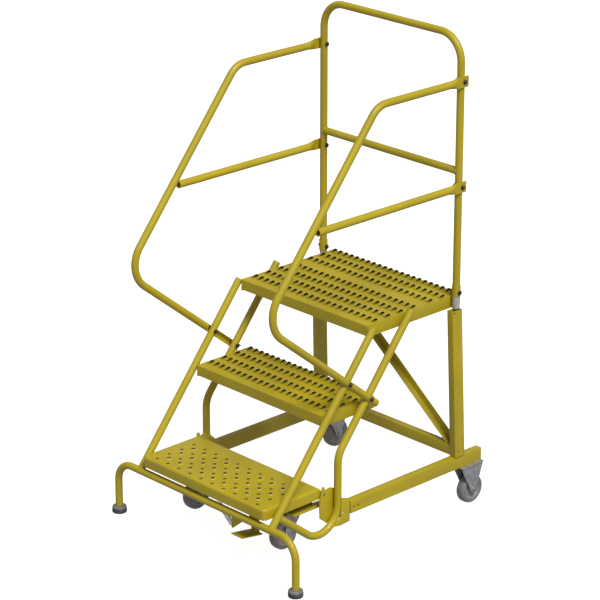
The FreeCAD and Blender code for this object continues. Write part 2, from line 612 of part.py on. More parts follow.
# ---------------------------------------------------------------- bolts
def hexagon(across_flats):
    r = across_flats / math.sqrt(3.0)
    return [(r * math.cos(math.radians(60.0 * i)), r * math.sin(math.radians(60.0 * i)))
            for i in range(6)]


def bolt_solid(x_head, x_nut, y, z, shank_d):
    """Bolt along X with its head's underside at x_head and its nut's inner face at x_nut."""
    out = 1.0 if x_head > x_nut else -1.0
    head = Part.Face(Part.makePolygon([V(0, p, q) for p, q in hexagon(size("head_af"))]
                                      + [V(0, *hexagon(size("head_af"))[0])]))
    head_solid = head.extrude(V(out * size("head_high"), 0, 0))
    head_solid.translate(V(x_head, y, z))
    nut_solid = head.extrude(V(-out * size("nut_high"), 0, 0))
    nut_solid.translate(V(x_nut, y, z))
    reach = abs(x_head - x_nut) + size("nut_high") + 3.0
    shank = Part.makeCylinder(shank_d / 2.0, reach, V(x_head, y, z), V(-out, 0, 0))
    return head_solid.fuse(shank).fuse(nut_solid).removeSplitter()


def shape_part(name, solids):
    """Group of like solids in one named part."""
    obj = doc.addObject("Part::Feature", name)
    obj.Label = name
    obj.Shape = Part.makeCompound(solids) if len(solids) > 1 else solids[0]
    obj.Placement = FreeCAD.Placement()
    PARTS.append(obj)


BOLT = size("bolt_d")
hand_bolts = []
guard_bolts = []
stub_bolts = []
for side_name, side in SIDES:
    for spot in (MOUNT_FRONT, MOUNT_REAR):
        hand_bolts.append(bolt_solid(side * (size("hand_x") + TUBE_R + 0.1),
                                     side * (size("stringer_x") - TUBE_R - 0.1), spot[0], spot[1], BOLT))
    for z in (HAND_TOP[1], size("hand_mid_z")):
        guard_bolts.append(bolt_solid(side * (size("hand_x") + TAB_SHIFT + size("tab_t") / 2.0 + 0.1),
                                      side * (GX - TUBE_R - 0.1), size("guard_y"), z, BOLT))
    stub_bolts.append(bolt_solid(side * (GX + size("swage_od") / 2.0 + 0.1),
                                 side * (GX - size("swage_od") / 2.0 - 0.1), size("guard_y"),
                                 STUB_BOLT_Z, BOLT))
shape_part("handrail_bolts", hand_bolts)
shape_part("guard_tab_bolts", guard_bolts)
shape_part("guard_stub_bolts", stub_bolts)

# ---------------------------------------------------------------- hinged bottom tread
pan = new_body("bottom_tread", (0.0, -size("pan_front"), RISE))
t = size("sheet_t")
depth = size("pan_depth")
drop = size("tread_flange")
half = size("pan_width") / 2.0
slab(pan, "blank", "YZ_Plane", rectangle(0.0, depth, -drop, 0.0), "pan_width", midplane=True)
dress(pan, "Fillet", "corners", "14",
      lambda box: box.ZLength > drop - 1.0 and box.YMax < -size("pan_front") + 0.01)
dress(pan, "Fillet", "bends", "pan_bend",
      lambda box: box.ZMin > RISE - 0.01 and box.YMin < depth - size("pan_front") - 1.0)
hollow = new_sketch(pan, "hollow", "XY_Plane", -drop)
closed(hollow, rectangle(-half + t, half - t, t, depth - t))
pocket(pan, hollow, drop - size("pan_bend"), reversed_=True)
roof = new_sketch(pan, "roof", "XY_Plane", -size("pan_bend"))
inset = size("pan_bend")
closed(roof, rectangle(-half + inset, half - inset, inset, depth - inset))
pocket(pan, roof, size("pan_bend") - t, reversed_=True)
ear_back = size("pan_front") - size("pan_pin_y") + 10.0
ear_mid = size("pan_pin_z") - RISE
for side_name, side in SIDES:
    slab(pan, "ear_" + side_name, "YZ_Plane",
         rectangle(depth - 12.0, ear_back, -drop, ear_mid + 10.0),
         "sheet_t + 0.5", side * half, reversed_=side > 0.0)
    doc.recompute()
drill(pan, "pin", (0, size("pan_front") - size("pan_pin_y"), size("pan_pin_z") - RISE), (1, 0, 0),
      "pin_d / 2 + 0.05", size("pan_width") + 20.0)
holes = new_sketch(pan, "holes", "XY_Plane", 1.0)
columns = int((size("pan_width") - 60.0) / size("pan_pitch")) + 1
rows = int((depth - size("pan_row") - 16.0) / size("pan_pitch")) + 1
for shift, alias in ((0.0, "pan_hole"), (0.5, "pan_button")):
    for column in range(columns - int(2.0 * shift)):
        for row in range(rows - int(2.0 * shift)):
            spot = V((column + shift - (columns - 1) / 2.0) * size("pan_pitch"),
                     size("pan_row") + (row + shift) * size("pan_pitch"), 0)
            holes.addGeometry(Part.Circle(spot, V(0, 0, 1), size(alias) / 2.0), False)
pocket(pan, holes, t + 2.0)

pins = []
for side_name, side in SIDES:
    x0 = size("pan_width") / 2.0 - t - 6.0
    reach = size("bracket_x") + size("plate_t") - x0
    pin = Part.makeCylinder(size("pin_d") / 2.0, reach - 0.2,
                            V(side * x0, -size("pan_pin_y"), size("pan_pin_z")), V(side, 0, 0))
    head = Part.makeCylinder(size("pin_d") / 2.0 + 1.5, 4.0,
                             V(side * (x0 - 4.0), -size("pan_pin_y"), size("pan_pin_z")), V(side, 0, 0))
    pins.append(pin.fuse(head).removeSplitter())
shape_part("tread_hinge_pins", pins)

# ---------------------------------------------------------------- hinged caster frame
rod = new_body("frame_hinge_rod", (0.0, -size("rod_y"), size("rod_z")))
ring = new_sketch(rod, "round", "YZ_Plane")
circle(ring, (0, 0), "rod_d / 2", size("rod_d") / 2.0)
pad(rod, ring, "2 * ( bracket_x + plate_t )", midplane=True)

frame = new_body("caster_frame", (0.0, 0.0, size("frame_z")))
ax0 = size("arm_x") - size("arm_wide") / 2.0
ax1 = size("arm_x") + size("arm_wide") / 2.0
tx0 = size("tongue_x") - size("tongue_wide") / 2.0
tx1 = size("tongue_x") + size("tongue_wide") / 2.0
cf = -size("cross_front")
cb = -size("cross_back")
arm_end = -size("rod_y") - size("eye_od") / 2.0
slab(frame, "plate", "XY_Plane",
     [(-ax1, cf), (tx0, cf), (tx0, -size("tongue_front")), (tx1, -size("tongue_front")), (tx1, cf),
      (ax1, cf), (ax1, arm_end), (ax0, arm_end), (ax0, cb), (-ax0, cb), (-ax0, arm_end),
      (-ax1, arm_end)], "frame_t")
doc.recompute()
slab(frame, "front_lip", "XZ_Plane", rectangle(-ax1, tx0 - 1.0, 0.0, 18.0), "frame_t / 2", -cf)
slab(frame, "back_lip", "XZ_Plane", rectangle(-ax0 - 4.0, ax0 + 4.0, 0.0, 18.0), "frame_t / 2",
     -cb, reversed_=False)
doc.recompute()
for side_name, side in SIDES:
    eye = new_sketch(frame, "eye_" + side_name, "YZ_Plane", side * size("arm_x") - size("eye_long") / 2.0)
    eye_z = size("rod_z") - size("frame_z")
    circle(eye, (-size("rod_y"), eye_z), "eye_od / 2", size("eye_od") / 2.0)
    pad(frame, eye, "eye_long")
    doc.recompute()
    neck = new_sketch(frame, "neck_" + side_name, "YZ_Plane",
                      side * size("arm_x") - size("eye_long") / 2.0)
    closed(neck, rectangle(arm_end - 12.0, -size("rod_y"), 0.0, eye_z + 4.0))
    pad(frame, neck, "eye_long")
    doc.recompute()
drill(frame, "rod_bore", (0, -size("rod_y"), size("rod_z") - size("frame_z")), (1, 0, 0),
      "rod_d / 2 + 0.05", 700.0)
for side_name, side in SIDES:
    drill(frame, "kingpin_" + side_name, (side * size("swivel_x"), -size("swivel_y"), 0), (0, 0, 1),
          "bolt_d / 2 + 0.4", 60.0)
ear_x = size("pedal_wide") / 2.0 - 10.0
for number, x in enumerate((size("tongue_x") - ear_x, size("tongue_x") + ear_x)):
    drop_to = size("pedal_pin_z") - size("frame_z")
    slab(frame, "ear_%d" % number, "YZ_Plane",
         [(-size("pedal_pin_y") - 9.0, 1.0), (-size("pedal_pin_y") - 9.0, drop_to - 8.0),
          (-size("pedal_pin_y") + 9.0, drop_to - 8.0), (-size("pedal_pin_y") + 9.0, 1.0)],
         "frame_t / 2", x - size("frame_t") / 4.0)
    doc.recompute()
drill(frame, "pedal_bore", (size("tongue_x"), -size("pedal_pin_y"),
                            size("pedal_pin_z") - size("frame_z")), (1, 0, 0), "4.05", 80.0)

pin = new_body("pedal_pin", (size("tongue_x"), -size("pedal_pin_y"), size("pedal_pin_z")))
ring = new_sketch(pin, "round", "YZ_Plane")
circle(ring, (0, 0), "4", 4.0)
pad(pin, ring, "pedal_wide - 6", midplane=True)

# ---------------------------------------------------------------- release pedal
pedal = new_body("release_pedal", (0, 0, 0), 1.0, "tongue_x")
top_y = -size("pedal_front")
top_z = size("pedal_front_z")
back_y = -size("pedal_back")
back_z = top_z - size("pedal_slope") * (back_y - top_y)
tp = size("pedal_t")
slab(pedal, "sole", "YZ_Plane", [(top_y, top_z), (back_y, back_z), (back_y, back_z + tp),
                                 (top_y, top_z + tp)], "pedal_wide", midplane=True)
doc.recompute()
py = -size("pedal_pin_y")
pz = size("pedal_pin_z")
slab(pedal, "web", "YZ_Plane", [(back_y, back_z + 1.0), (back_y, pz - 4.0), (py + 6.0, pz + 4.0),
                                (py - 6.0, pz + 4.0), (py - 6.0, back_z + 3.0)], "pedal_wide - 30",
     midplane=True)
doc.recompute()
drill(pedal, "bore", (0, py, pz), (1, 0, 0), "4.05", 60.0)


# ---------------------------------------------------------------- casters
def turned(body, name, profile):
    """Round solid about the body's own X axis from a half section (x, radius)."""
    sketch = new_sketch(body, name, "XZ_Plane")
    closed(sketch, profile)
    feature = body.newObject("PartDesign::Revolution", body.Name + "_" + name)
    feature.Profile = sketch
    feature.ReferenceAxis = (sketch, ["H_Axis"])
    feature.Angle = 360.0
    doc.recompute()
    return feature


def wheel_parts(name, at):
    """Tyre, hub and axle; the hub turns on the axle."""
    r = size("wheel_d") / 2.0
    w = size("wheel_w") / 2.0
    inner = r - size("tread_t")
    bore = size("axle_d") / 2.0
    hub_half = size("hub_w") / 2.0
    tyre = new_body(name + "_tyre", at)
    turned(tyre, "section", [(-w, inner), (-w, r - 5.0), (-w + 4.0, r), (w - 4.0, r), (w, r - 5.0),
                             (w, inner)])
    hub = new_body(name + "_hub", at)
    turned(hub, "section", [(-hub_half, bore + 0.05), (-hub_half, bore + 7.0), (-w + 6.0, bore + 9.0),
                            (-w + 6.0, inner - 5.0), (-w + 1.0, inner - 3.0), (-w + 1.0, inner),
                            (w - 1.0, inner), (w - 1.0, inner - 3.0), (w - 6.0, inner - 5.0),
                            (w - 6.0, bore + 9.0), (hub_half, bore + 7.0), (hub_half, bore + 0.05)])
    side_in = hub_half + size("fork_gap") + size("fork_t")
    axle = new_body(name + "_axle", at)
    turned(axle, "section", [(-side_in - 6.0, 0.0), (-side_in - 6.0, bore + 3.2),
                             (-side_in - 0.1, bore + 3.2), (-side_in - 0.1, bore),
                             (side_in + 0.1, bore), (side_in + 0.1, bore + 3.2),
                             (side_in + 6.0, bore + 3.2), (side_in + 6.0, 0.0)])


def fork(name, at, axle_y, axle_z, top_z, top_front, top_back, plate_half):
    """Bent fork: top plate and two tapered sides round the wheel, in the frame of at."""
    body = new_body(name, at)
    side_in = size("hub_w") / 2.0 + size("fork_gap")
    slab(body, "top", "XY_Plane", rectangle(-plate_half, plate_half, top_front, top_back), "top_plate_t",
         top_z - size("top_plate_t"))
    doc.recompute()
    for number, sign in enumerate((1.0, -1.0)):
        slab(body, "side_%d" % number, "YZ_Plane",
             [(axle_y - 11.0, axle_z - 6.0), (axle_y - 5.0, axle_z - 12.0), (axle_y + 5.0, axle_z - 12.0),
              (axle_y + 11.0, axle_z - 6.0), (top_back - 6.0, top_z - 20.0), (top_back - 4.0, top_z - 1.0),
              (top_front + 4.0, top_z - 1.0), (top_front + 6.0, top_z - 20.0)],
             "fork_t", sign * side_in, reversed_=sign < 0.0)
        doc.recompute()
    drill(body, "axle_hole", (0, axle_y, axle_z), (1, 0, 0), "axle_d / 2 + 0.03", 120.0)
    return body


WHEEL_R = size("wheel_d") / 2.0
for side_name, side in SIDES:
    rx = side * size("rail_x")
    wheel_parts("rear_wheel_" + side_name, (rx, size("rear_wheel_y"), WHEEL_R))
    long = size("rear_plate_long") / 2.0
    fork("rear_fork_" + side_name, (rx, 0, 0), size("rear_wheel_y"), WHEEL_R, size("rail_z") - GAP,
         size("rear_plate_y") - long, size("rear_plate_y") + long, 26.0)

for side_name, side in SIDES:
    sx = side * size("swivel_x")
    wheel_parts("front_wheel_" + side_name,
                (sx, -size("swivel_y") - size("trail"), size("front_axle_z")))
    race_top = size("frame_z") - GAP
    race = new_body("swivel_race_" + side_name, (sx, -size("swivel_y"), race_top))
    disc = new_sketch(race, "disc", "XY_Plane", -size("race_high"))
    circle(disc, (0, 0), "race_od / 2", size("race_od") / 2.0)
    pad(race, disc, "race_high - top_plate_t + 1")
    doc.recompute()
    slab(race, "plate", "XY_Plane", rectangle(-42.0, 42.0, -45.0, 45.0), "top_plate_t",
         -size("top_plate_t"))
    drill(race, "kingpin", (0, 0, 0), (0, 0, 1), "bolt_d / 2 + 0.4", 60.0)
    fork_top = race_top - size("race_high") - GAP
    body = fork("front_fork_" + side_name, (sx, -size("swivel_y"), 0), -size("trail"),
                size("front_axle_z"), fork_top, -44.0, 27.0, size("hub_w") / 2.0 + 4.0)
    drill(body, "kingpin", (0, 0, fork_top), (0, 0, 1), "bolt_d / 2 + 0.05", 30.0)

kingpins = []
for side_name, side in SIDES:
    base = V(side * size("swivel_x"), -size("swivel_y"), 0)
    fork_top = size("frame_z") - 2.0 * GAP - size("race_high")
    low = fork_top - size("top_plate_t") - 4.4
    shank = Part.makeCylinder(BOLT / 2.0, size("frame_z") + size("frame_t") + 8.0 - low,
                              base + V(0, 0, low), V(0, 0, 1))
    head = Part.makeCylinder(BOLT / 2.0 + 3.0, 4.0, base + V(0, 0, low), V(0, 0, 1))
    nut = Part.makeCylinder(BOLT / 2.0 + 3.0, 6.0,
                            base + V(0, 0, size("frame_z") + size("frame_t") + 0.2), V(0, 0, 1))
    kingpins.append(shank.fuse(head).fuse(nut).removeSplitter())
shape_part("caster_kingpins", kingpins)

# ---------------------------------------------------------------- lug and spring under the front tube
lug = new_body("spring_lug", (0, FRONT[0] + TUBE_R - 1.0, 0), 1.0, "lug_x")
tube_under = FRONT[1] - TUBE_R
slab(lug, "plate", "XZ_Plane", [(0.0, size("lug_low")), (5.0, size("lug_low")),
                                (size("lug_long"), tube_under), (size("lug_long"), tube_under + 9.0),
                                (0.0, tube_under + 9.0)], "lug_t")
doc.recompute()
drill(lug, "cope", (0, 1.0 - TUBE_R, FRONT[1]), (1, 0, 0), "tube_od / 2 + fit_gap", 300.0)
drill(lug, "hook_hole", (6.0, 0, size("lug_low") + 9.0), (0, 1, 0), "2.5", 30.0)

turns = int(round(size("spring_turns")))
coil_r = (size("spring_od") - size("spring_wire")) / 2.0
pitch = size("spring_long") / turns
coil = Part.makeHelix(pitch, size("spring_long"), coil_r)
section = Part.Wire([Part.makeCircle(size("spring_wire") / 2.0, V(coil_r, 0, 0), V(0, 1, 0))])
spring = Part.Wire(coil.Edges).makePipeShell([section], True, True)
spring = Part.Solid(spring) if spring.ShapeType != "Solid" else spring
for end, way in ((0.0, -1.0), (size("spring_long"), 1.0)):
    eye = Part.makeTorus(coil_r, size("spring_wire") / 2.0, V(0, 0, end), V(0, 1, 0))
    keep = Part.makeBox(40.0, 40.0, 20.0, V(-20.0, -20.0, end - 20.0 if way < 0.0 else end))
    spring = spring.fuse(eye.common(keep))
spring_y = FRONT[0] + TUBE_R + size("spring_od") / 2.0 + 2.0
spring_low = V(size("lug_x") - 14.0, spring_y, size("lug_low") + 2.0)
spring_turn = FreeCAD.Rotation(V(0, 0, 1), V(-48.0, 0, 41.0))
spring.transformShape(FreeCAD.Placement(spring_low, spring_turn).toMatrix(), True)
shape_part("tread_spring", [spring])

# ---------------------------------------------------------------- like pieces kept as one part each
def group(name, members):
    """One named part holding several separate bodies."""
    bodies = [doc.getObject(member) for member in members]
    compound = doc.addObject("Part::Compound", name)
    compound.Label = name
    compound.Links = bodies
    for body in bodies:
        PARTS.remove(body)
    PARTS.append(compound)


for name, stem in (("middle_ends", "middle_end_"), ("platform_ends", "platform_end_"),
                   ("guard_stubs", "guard_stub_"), ("rail_plates", "rail_plate_"),
                   ("swivel_races", "swivel_race_")):
    group(name, [stem + side_name for side_name, side in SIDES])
group("rear_axles", ["rear_wheel_right_axle", "rear_wheel_left_axle"])

# ---------------------------------------------------------------- check and write
doc.recompute()
os.makedirs("parts", exist_ok=True)
problems = []
for obj in doc.Objects:
    if "Invalid" in obj.State or "Error" in obj.State:
        problems.append("%s: %s" % (obj.Name, obj.State))
for obj in PARTS:
    if obj.Shape.isNull() or not obj.Shape.isValid() or not obj.Shape.Solids:
        problems.append("%s: bad shape" % obj.Name)
    elif obj.TypeId == "PartDesign::Body" and len(obj.Shape.Solids) != 1:
        problems.append("%s: %d solids" % (obj.Name, len(obj.Shape.Solids)))
if problems:
    raise RuntimeError("; ".join(problems))
for obj in PARTS:
    obj.Shape.exportStep("parts/%s.step" % obj.Name)
print("wrote %d parts" % len(PARTS))
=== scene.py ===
import json
import math

import bmesh
import bpy
from mathutils import Matrix, Vector


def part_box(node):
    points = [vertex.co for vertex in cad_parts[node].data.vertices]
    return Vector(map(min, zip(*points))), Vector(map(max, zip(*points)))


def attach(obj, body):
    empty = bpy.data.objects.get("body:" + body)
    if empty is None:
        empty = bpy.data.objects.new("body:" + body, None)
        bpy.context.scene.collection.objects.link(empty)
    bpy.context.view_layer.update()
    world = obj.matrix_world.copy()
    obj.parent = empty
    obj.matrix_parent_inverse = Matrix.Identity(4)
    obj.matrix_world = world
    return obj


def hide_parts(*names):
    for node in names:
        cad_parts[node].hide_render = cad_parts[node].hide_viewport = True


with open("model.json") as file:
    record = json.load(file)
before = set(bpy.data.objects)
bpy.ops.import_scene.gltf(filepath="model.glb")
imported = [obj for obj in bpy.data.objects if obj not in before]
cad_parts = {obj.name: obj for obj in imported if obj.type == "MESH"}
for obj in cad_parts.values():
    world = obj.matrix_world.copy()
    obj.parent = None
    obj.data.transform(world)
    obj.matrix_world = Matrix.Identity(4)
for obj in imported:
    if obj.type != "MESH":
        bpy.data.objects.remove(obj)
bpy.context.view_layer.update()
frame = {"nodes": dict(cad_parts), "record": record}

bl_info = {
    "name": "Ladder stand",
    "version": (1, 0, 0),
    "blender": (4, 5, 0),
    "location": "3D View > Sidebar > Ladder stand",
    "description": "Builds the visible pieces and finishes of a rolling ladder stand round its frame",
    "category": "Object",
}

MM = 0.001
BODY_OF = {node: body for body, members in frame["record"]["behaviour"]["bodies"].items()
           for node in members}
SLOT_OF = {part["node"]: part["material_slot"] for part in frame["record"]["subparts"]}
FINISHES = {}


# ---------------------------------------------------------------- shader trees
class Val:
    """One output of a node; arithmetic on it adds Math nodes to the same tree."""

    def __init__(self, graph, socket):
        self.graph = graph
        self.socket = socket

    def _math(self, operation, first, second):
        return self.graph.node("ShaderNodeMath", {"operation": operation}, {0: first, 1: second})

    def __add__(self, other):
        return self._math("ADD", self, other)

    __radd__ = __add__

    def __sub__(self, other):
        return self._math("SUBTRACT", self, other)

    def __mul__(self, other):
        return self._math("MULTIPLY", self, other)

    __rmul__ = __mul__


class Graph:
    """A node tree, for a material or for geometry, written as calls that return outputs."""

    def __init__(self, tree):
        self.tree = tree

    def node(self, kind, settings=None, sockets=None, out=0):
        node = self.tree.nodes.new(kind)
        for key, value in (settings or {}).items():
            setattr(node, key, value)
        for key, value in (sockets or {}).items():
            for part in value if isinstance(value, list) else [value]:
                if isinstance(part, Val):
                    self.tree.links.new(part.socket, node.inputs[key])
                else:
                    node.inputs[key].default_value = part
        return Val(self, node.outputs[out]) if node.outputs else None

    def noise(self, spot, scale, detail=3.0, rough=0.5):
        return self.node("ShaderNodeTexNoise", None,
                         {"Vector": spot, "Scale": scale, "Detail": detail, "Roughness": rough})

    def step(self, value, low, high):
        """0 below low, 1 above high, smooth between."""
        return self.node("ShaderNodeMapRange", {"clamp": True, "interpolation_type": "SMOOTHSTEP"},
                         {0: value, 1: low, 2: high, 3: 0.0, 4: 1.0})

    def mix(self, share, first, second):
        return self.node("ShaderNodeMix", {"data_type": "RGBA"}, {0: share, 6: first, 7: second},
                         out=2)


def tint(colour, factor):
    return tuple(min(1.0, c * factor) for c in colour[:3]) + (1.0,)


def surface(name, colour, paint, metallic=0.0, coat=0.0):
    """Material whose changing sockets come from paint(graph, spot, colour)."""
    material = bpy.data.materials.new(name)
    material.use_nodes = True
    material.diffuse_color = tint(colour, 1.0)
    material.node_tree.nodes.clear()
    graph = Graph(material.node_tree)
    spot = graph.node("ShaderNodeTexCoord", out="Object")
    base, rough, height, depth = paint(graph, spot, colour)
    normal = graph.node("ShaderNodeBump", None, {"Strength": 1.0, "Distance": depth, "Height": height})
    sockets = {"Base Color": base, "Roughness": rough, "Metallic": metallic, "Normal": normal}
    if coat:
        sockets["Coat Weight"] = coat
        sockets["Coat Roughness"] = 0.12
    shader = graph.node("ShaderNodeBsdfPrincipled", None, sockets)
    graph.node("ShaderNodeOutputMaterial", None, {"Surface": shader})
    return material


def powder_coat(graph, spot, colour):
    """Yellow powder coat: faint cloudiness, orange peel, a few scuffs, painted highlight on tooth crests and
    button tops, and painted shade in tooth pockets, hole walls and button bores.
    """
    cloud = graph.noise(spot, 5.0, 2.0)
    peel = graph.noise(spot, 420.0, 2.0)
    scuff = graph.noise(spot, 55.0, 6.0, 0.65)
    # The attribute read here is painted highlight on tooth crests and button tops: it lightens the coat
    # towards a pale tint and makes it glossier.
    rubbed = graph.node("ShaderNodeAttribute", {"attribute_name": "rubbed"}, out="Fac")
    base = graph.mix(graph.step(cloud, 0.3, 0.7), tint(colour, 0.93), tint(colour, 1.06))
    base = graph.mix(graph.step(scuff, 0.63, 0.72) * 0.35, base, tint((0.26, 0.20, 0.03), 1.0))
    highlight_tint = tuple(0.55 * c + 0.45 * d for c, d in zip(colour[:3], (0.95, 0.90, 0.45))) + (1.0,)
    base = graph.mix(graph.step(rubbed + scuff * 0.4, 0.75, 1.2), base, highlight_tint)
    # The attribute read here is painted shade inside tooth hoods, down hole walls and button bores: it
    # darkens the coat almost to black and roughens it.
    grime = graph.node("ShaderNodeAttribute", {"attribute_name": "grime"}, out="Fac")
    base = graph.mix(grime * 0.88, base, tint((0.045, 0.036, 0.006), 1.0))
    rough = 0.36 + scuff * 0.16 - rubbed * 0.10 + grime * 0.3
    return base, rough, peel + scuff * 0.3, 0.00012


def zinc_plate(graph, spot, colour):
    """Zinc-plated steel: fine streaks and dull spots."""
    fine = graph.noise(spot, 650.0, 3.0)
    blot = graph.noise(spot, 60.0, 4.0)
    base = graph.mix(graph.step(blot, 0.35, 0.7), tint(colour, 0.82), tint(colour, 1.12))
    return base, 0.28 + blot * 0.25, fine, 0.00004


def galvanised(graph, spot, colour):
    """Hot-dip zinc: angular spangle."""
    spangle = graph.node("ShaderNodeTexVoronoi", {"feature": "F1"}, {"Vector": spot, "Scale": 240.0},
                         out="Color")
    split = graph.node("ShaderNodeSeparateColor", None, {0: spangle})
    fine = graph.noise(spot, 500.0, 2.0)
    base = graph.mix(split, tint(colour, 0.86), tint(colour, 1.10))
    return base, 0.34 + split * 0.18, fine, 0.00005


def moulded(graph, spot, colour):
    """Moulded plastic or rubber: matt skin with dusty patches."""
    grain = graph.noise(spot, 900.0, 2.0)
    dust = graph.noise(spot, 40.0, 5.0, 0.6)
    dusty = tuple(0.75 * c + 0.25 * 0.42 for c in colour[:3]) + (1.0,)
    base = graph.mix(graph.step(dust, 0.48, 0.72), tint(colour, 1.0), dusty)
    return base, 0.52 + dust * 0.25, grain, 0.00006


def make_finishes(colours):
    FINISHES["yellow_paint"] = surface("yellow_coat", colours.yellow, powder_coat, coat=0.10)
    FINISHES["zinc"] = surface("zinc_plate", colours.zinc, zinc_plate, metallic=0.9)
    FINISHES["galvanised"] = surface("galvanised_steel", tint(colours.zinc, 1.5), galvanised, metallic=0.6)
    FINISHES["caster_steel"] = surface("caster_steel", colours.caster, zinc_plate, metallic=0.7)
    FINISHES["wheel_tyre"] = surface("tyre_rubber", colours.tyre, moulded)
    FINISHES["wheel_hub"] = surface("hub_plastic", colours.hub, moulded)
    FINISHES["foot_rubber"] = surface("foot_rubber", colours.foot, moulded)
    FINISHES["foot_collar"] = surface("foot_collar", colours.collar, moulded)
    FINISHES["dark_bolt"] = surface("dark_bolt", colours.bolt, zinc_plate, metallic=0.7)


# ---------------------------------------------------------------- geometry trees
SOCKETS = {"geometry": "NodeSocketGeometry", "object": "NodeSocketObject", "size": "NodeSocketFloat",
           "count": "NodeSocketInt", "place": "NodeSocketVector", "finish": "NodeSocketMaterial"}


def new_tree(name, inputs):
    """Empty geometry tree with named inputs; returns its graph, its inputs and its end."""
    tree = bpy.data.node_groups.new(name, "GeometryNodeTree")
    tree.interface.new_socket(name="Geometry", in_out="INPUT", socket_type=SOCKETS["geometry"])
    for label, kind in inputs:
        tree.interface.new_socket(name=label, in_out="INPUT", socket_type=SOCKETS[kind])
    tree.interface.new_socket(name="Geometry", in_out="OUTPUT", socket_type=SOCKETS["geometry"])
    graph = Graph(tree)
    entry = tree.nodes.new("NodeGroupInput")
    given = {socket.name: Val(graph, socket) for socket in entry.outputs if socket.name}
    return graph, given


def end_tree(graph, geometry, finish):
    real = graph.node("GeometryNodeRealizeInstances", None, {"Geometry": geometry})
    done = graph.node("GeometryNodeSetMaterial", None, {"Geometry": real, "Material": finish})
    leave = graph.tree.nodes.new("NodeGroupOutput")
    graph.tree.links.new(done.socket, leave.inputs[0])
    return graph.tree


def rows_tree():
    """Copies of one piece on a grid, joined to the object's own mesh."""
    graph, given = new_tree("rows_of_teeth", [
        ("Tile", "object"), ("Columns", "count"), ("Rows", "count"), ("Column pitch", "size"),
        ("Row pitch", "size"), ("Centre", "place"), ("Finish", "finish")])
    across = (given["Columns"] - 1.0) * given["Column pitch"]
    along = (given["Rows"] - 1.0) * given["Row pitch"]
    grid = graph.node("GeometryNodeMeshGrid", None,
                      {"Size X": across, "Size Y": along, "Vertices X": given["Columns"],
                       "Vertices Y": given["Rows"]})
    moved = graph.node("GeometryNodeTransform", None, {"Geometry": grid, "Translation": given["Centre"]})
    tile = graph.node("GeometryNodeObjectInfo", None, {"Object": given["Tile"]}, out="Geometry")
    laid = graph.node("GeometryNodeInstanceOnPoints", None, {"Points": moved, "Instance": tile})
    joined = graph.node("GeometryNodeJoinGeometry", None, {"Geometry": [given["Geometry"], laid]})
    return end_tree(graph, joined, given["Finish"])


def copies_tree():
    """A copy of one piece at each point, its Z axis along the point's aim, turned at random."""
    graph, given = new_tree("copies_on_points", [("Piece", "object"), ("Turn", "size"),
                                                 ("Seed", "count"), ("Finish", "finish")])
    aim = graph.node("GeometryNodeInputNamedAttribute", {"data_type": "FLOAT_VECTOR"}, {"Name": "aim"})
    turned = graph.node("FunctionNodeAlignRotationToVector", {"axis": "Z"}, {"Vector": aim})
    spin = graph.node("FunctionNodeRandomValue", {"data_type": "FLOAT"},
                      {2: 0.0, 3: given["Turn"], "Seed": given["Seed"]}, out=1)
    local = graph.node("ShaderNodeCombineXYZ", None, {"Z": spin})
    spun = graph.node("FunctionNodeRotateRotation", {"rotation_space": "LOCAL"},
                      {0: turned, 1: local})
    piece = graph.node("GeometryNodeObjectInfo", None, {"Object": given["Piece"]}, out="Geometry")
    laid = graph.node("GeometryNodeInstanceOnPoints", None,
                      {"Points": given["Geometry"], "Instance": piece, "Rotation": spun})
    return end_tree(graph, laid, given["Finish"])


def bead_tree():
    """Weld bead: a rippled round bar along the object's edges."""
    graph, given = new_tree("weld_bead", [("Bead radius", "size"), ("Ripple length", "size"),
                                          ("Finish", "finish")])
    line = graph.node("GeometryNodeMeshToCurve", None, {"Mesh": given["Geometry"]})
    even = graph.node("GeometryNodeResampleCurve", {"mode": "LENGTH"},
                      {"Curve": line, "Length": given["Ripple length"] * 0.25})
    index = graph.node("GeometryNodeInputIndex")
    ripple = graph.node("ShaderNodeMath", {"operation": "SINE"}, {0: index * (math.pi / 2.0)})
    shaped = graph.node("GeometryNodeSetCurveRadius", None, {"Curve": even, "Radius": 1.0 + ripple * 0.16})
    ring = graph.node("GeometryNodeCurvePrimitiveCircle", {"mode": "RADIUS"},
                      {"Resolution": 8, "Radius": given["Bead radius"]})
    bead = graph.node("GeometryNodeCurveToMesh", None,
                      {"Curve": shaped, "Profile Curve": ring, "Fill Caps": True})
    if "Scale" in [s.name for s in bead.socket.node.inputs]:
        radius = graph.node("GeometryNodeInputRadius")
        graph.tree.links.new(radius.socket, bead.socket.node.inputs["Scale"])
    return end_tree(graph, bead, given["Finish"])


def run_tree(obj, tree, values):
    """Adds the tree as a modifier, sets its inputs and turns the result into a plain mesh."""
    modifier = obj.modifiers.new(tree.name, "NODES")
    modifier.node_group = tree
    for item in tree.interface.items_tree:
        if item.in_out == "INPUT" and item.name in values:
            modifier[item.identifier] = values[item.name]
    settle(obj)


def settle(obj):
    """Turns the object and its modifiers into one plain mesh."""
    bpy.context.view_layer.update()
    evaluated = obj.evaluated_get(bpy.context.evaluated_depsgraph_get())
    mesh = bpy.data.meshes.new_from_object(evaluated)
    obj.modifiers.clear()
    old = obj.data
    obj.data = mesh
    bpy.data.meshes.remove(old)
    mesh.name = obj.name


# ---------------------------------------------------------------- mesh helpers
def mesh_object(name, bm):
    mesh = bpy.data.meshes.new(name)
    bm.to_mesh(mesh)
    bm.free()
    obj = bpy.data.objects.new(name, mesh)
    bpy.context.scene.collection.objects.link(obj)
    return obj


def outward(bm):
    bmesh.ops.remove_doubles(bm, verts=bm.verts, dist=1e-6)
    bmesh.ops.recalc_face_normals(bm, faces=bm.faces)


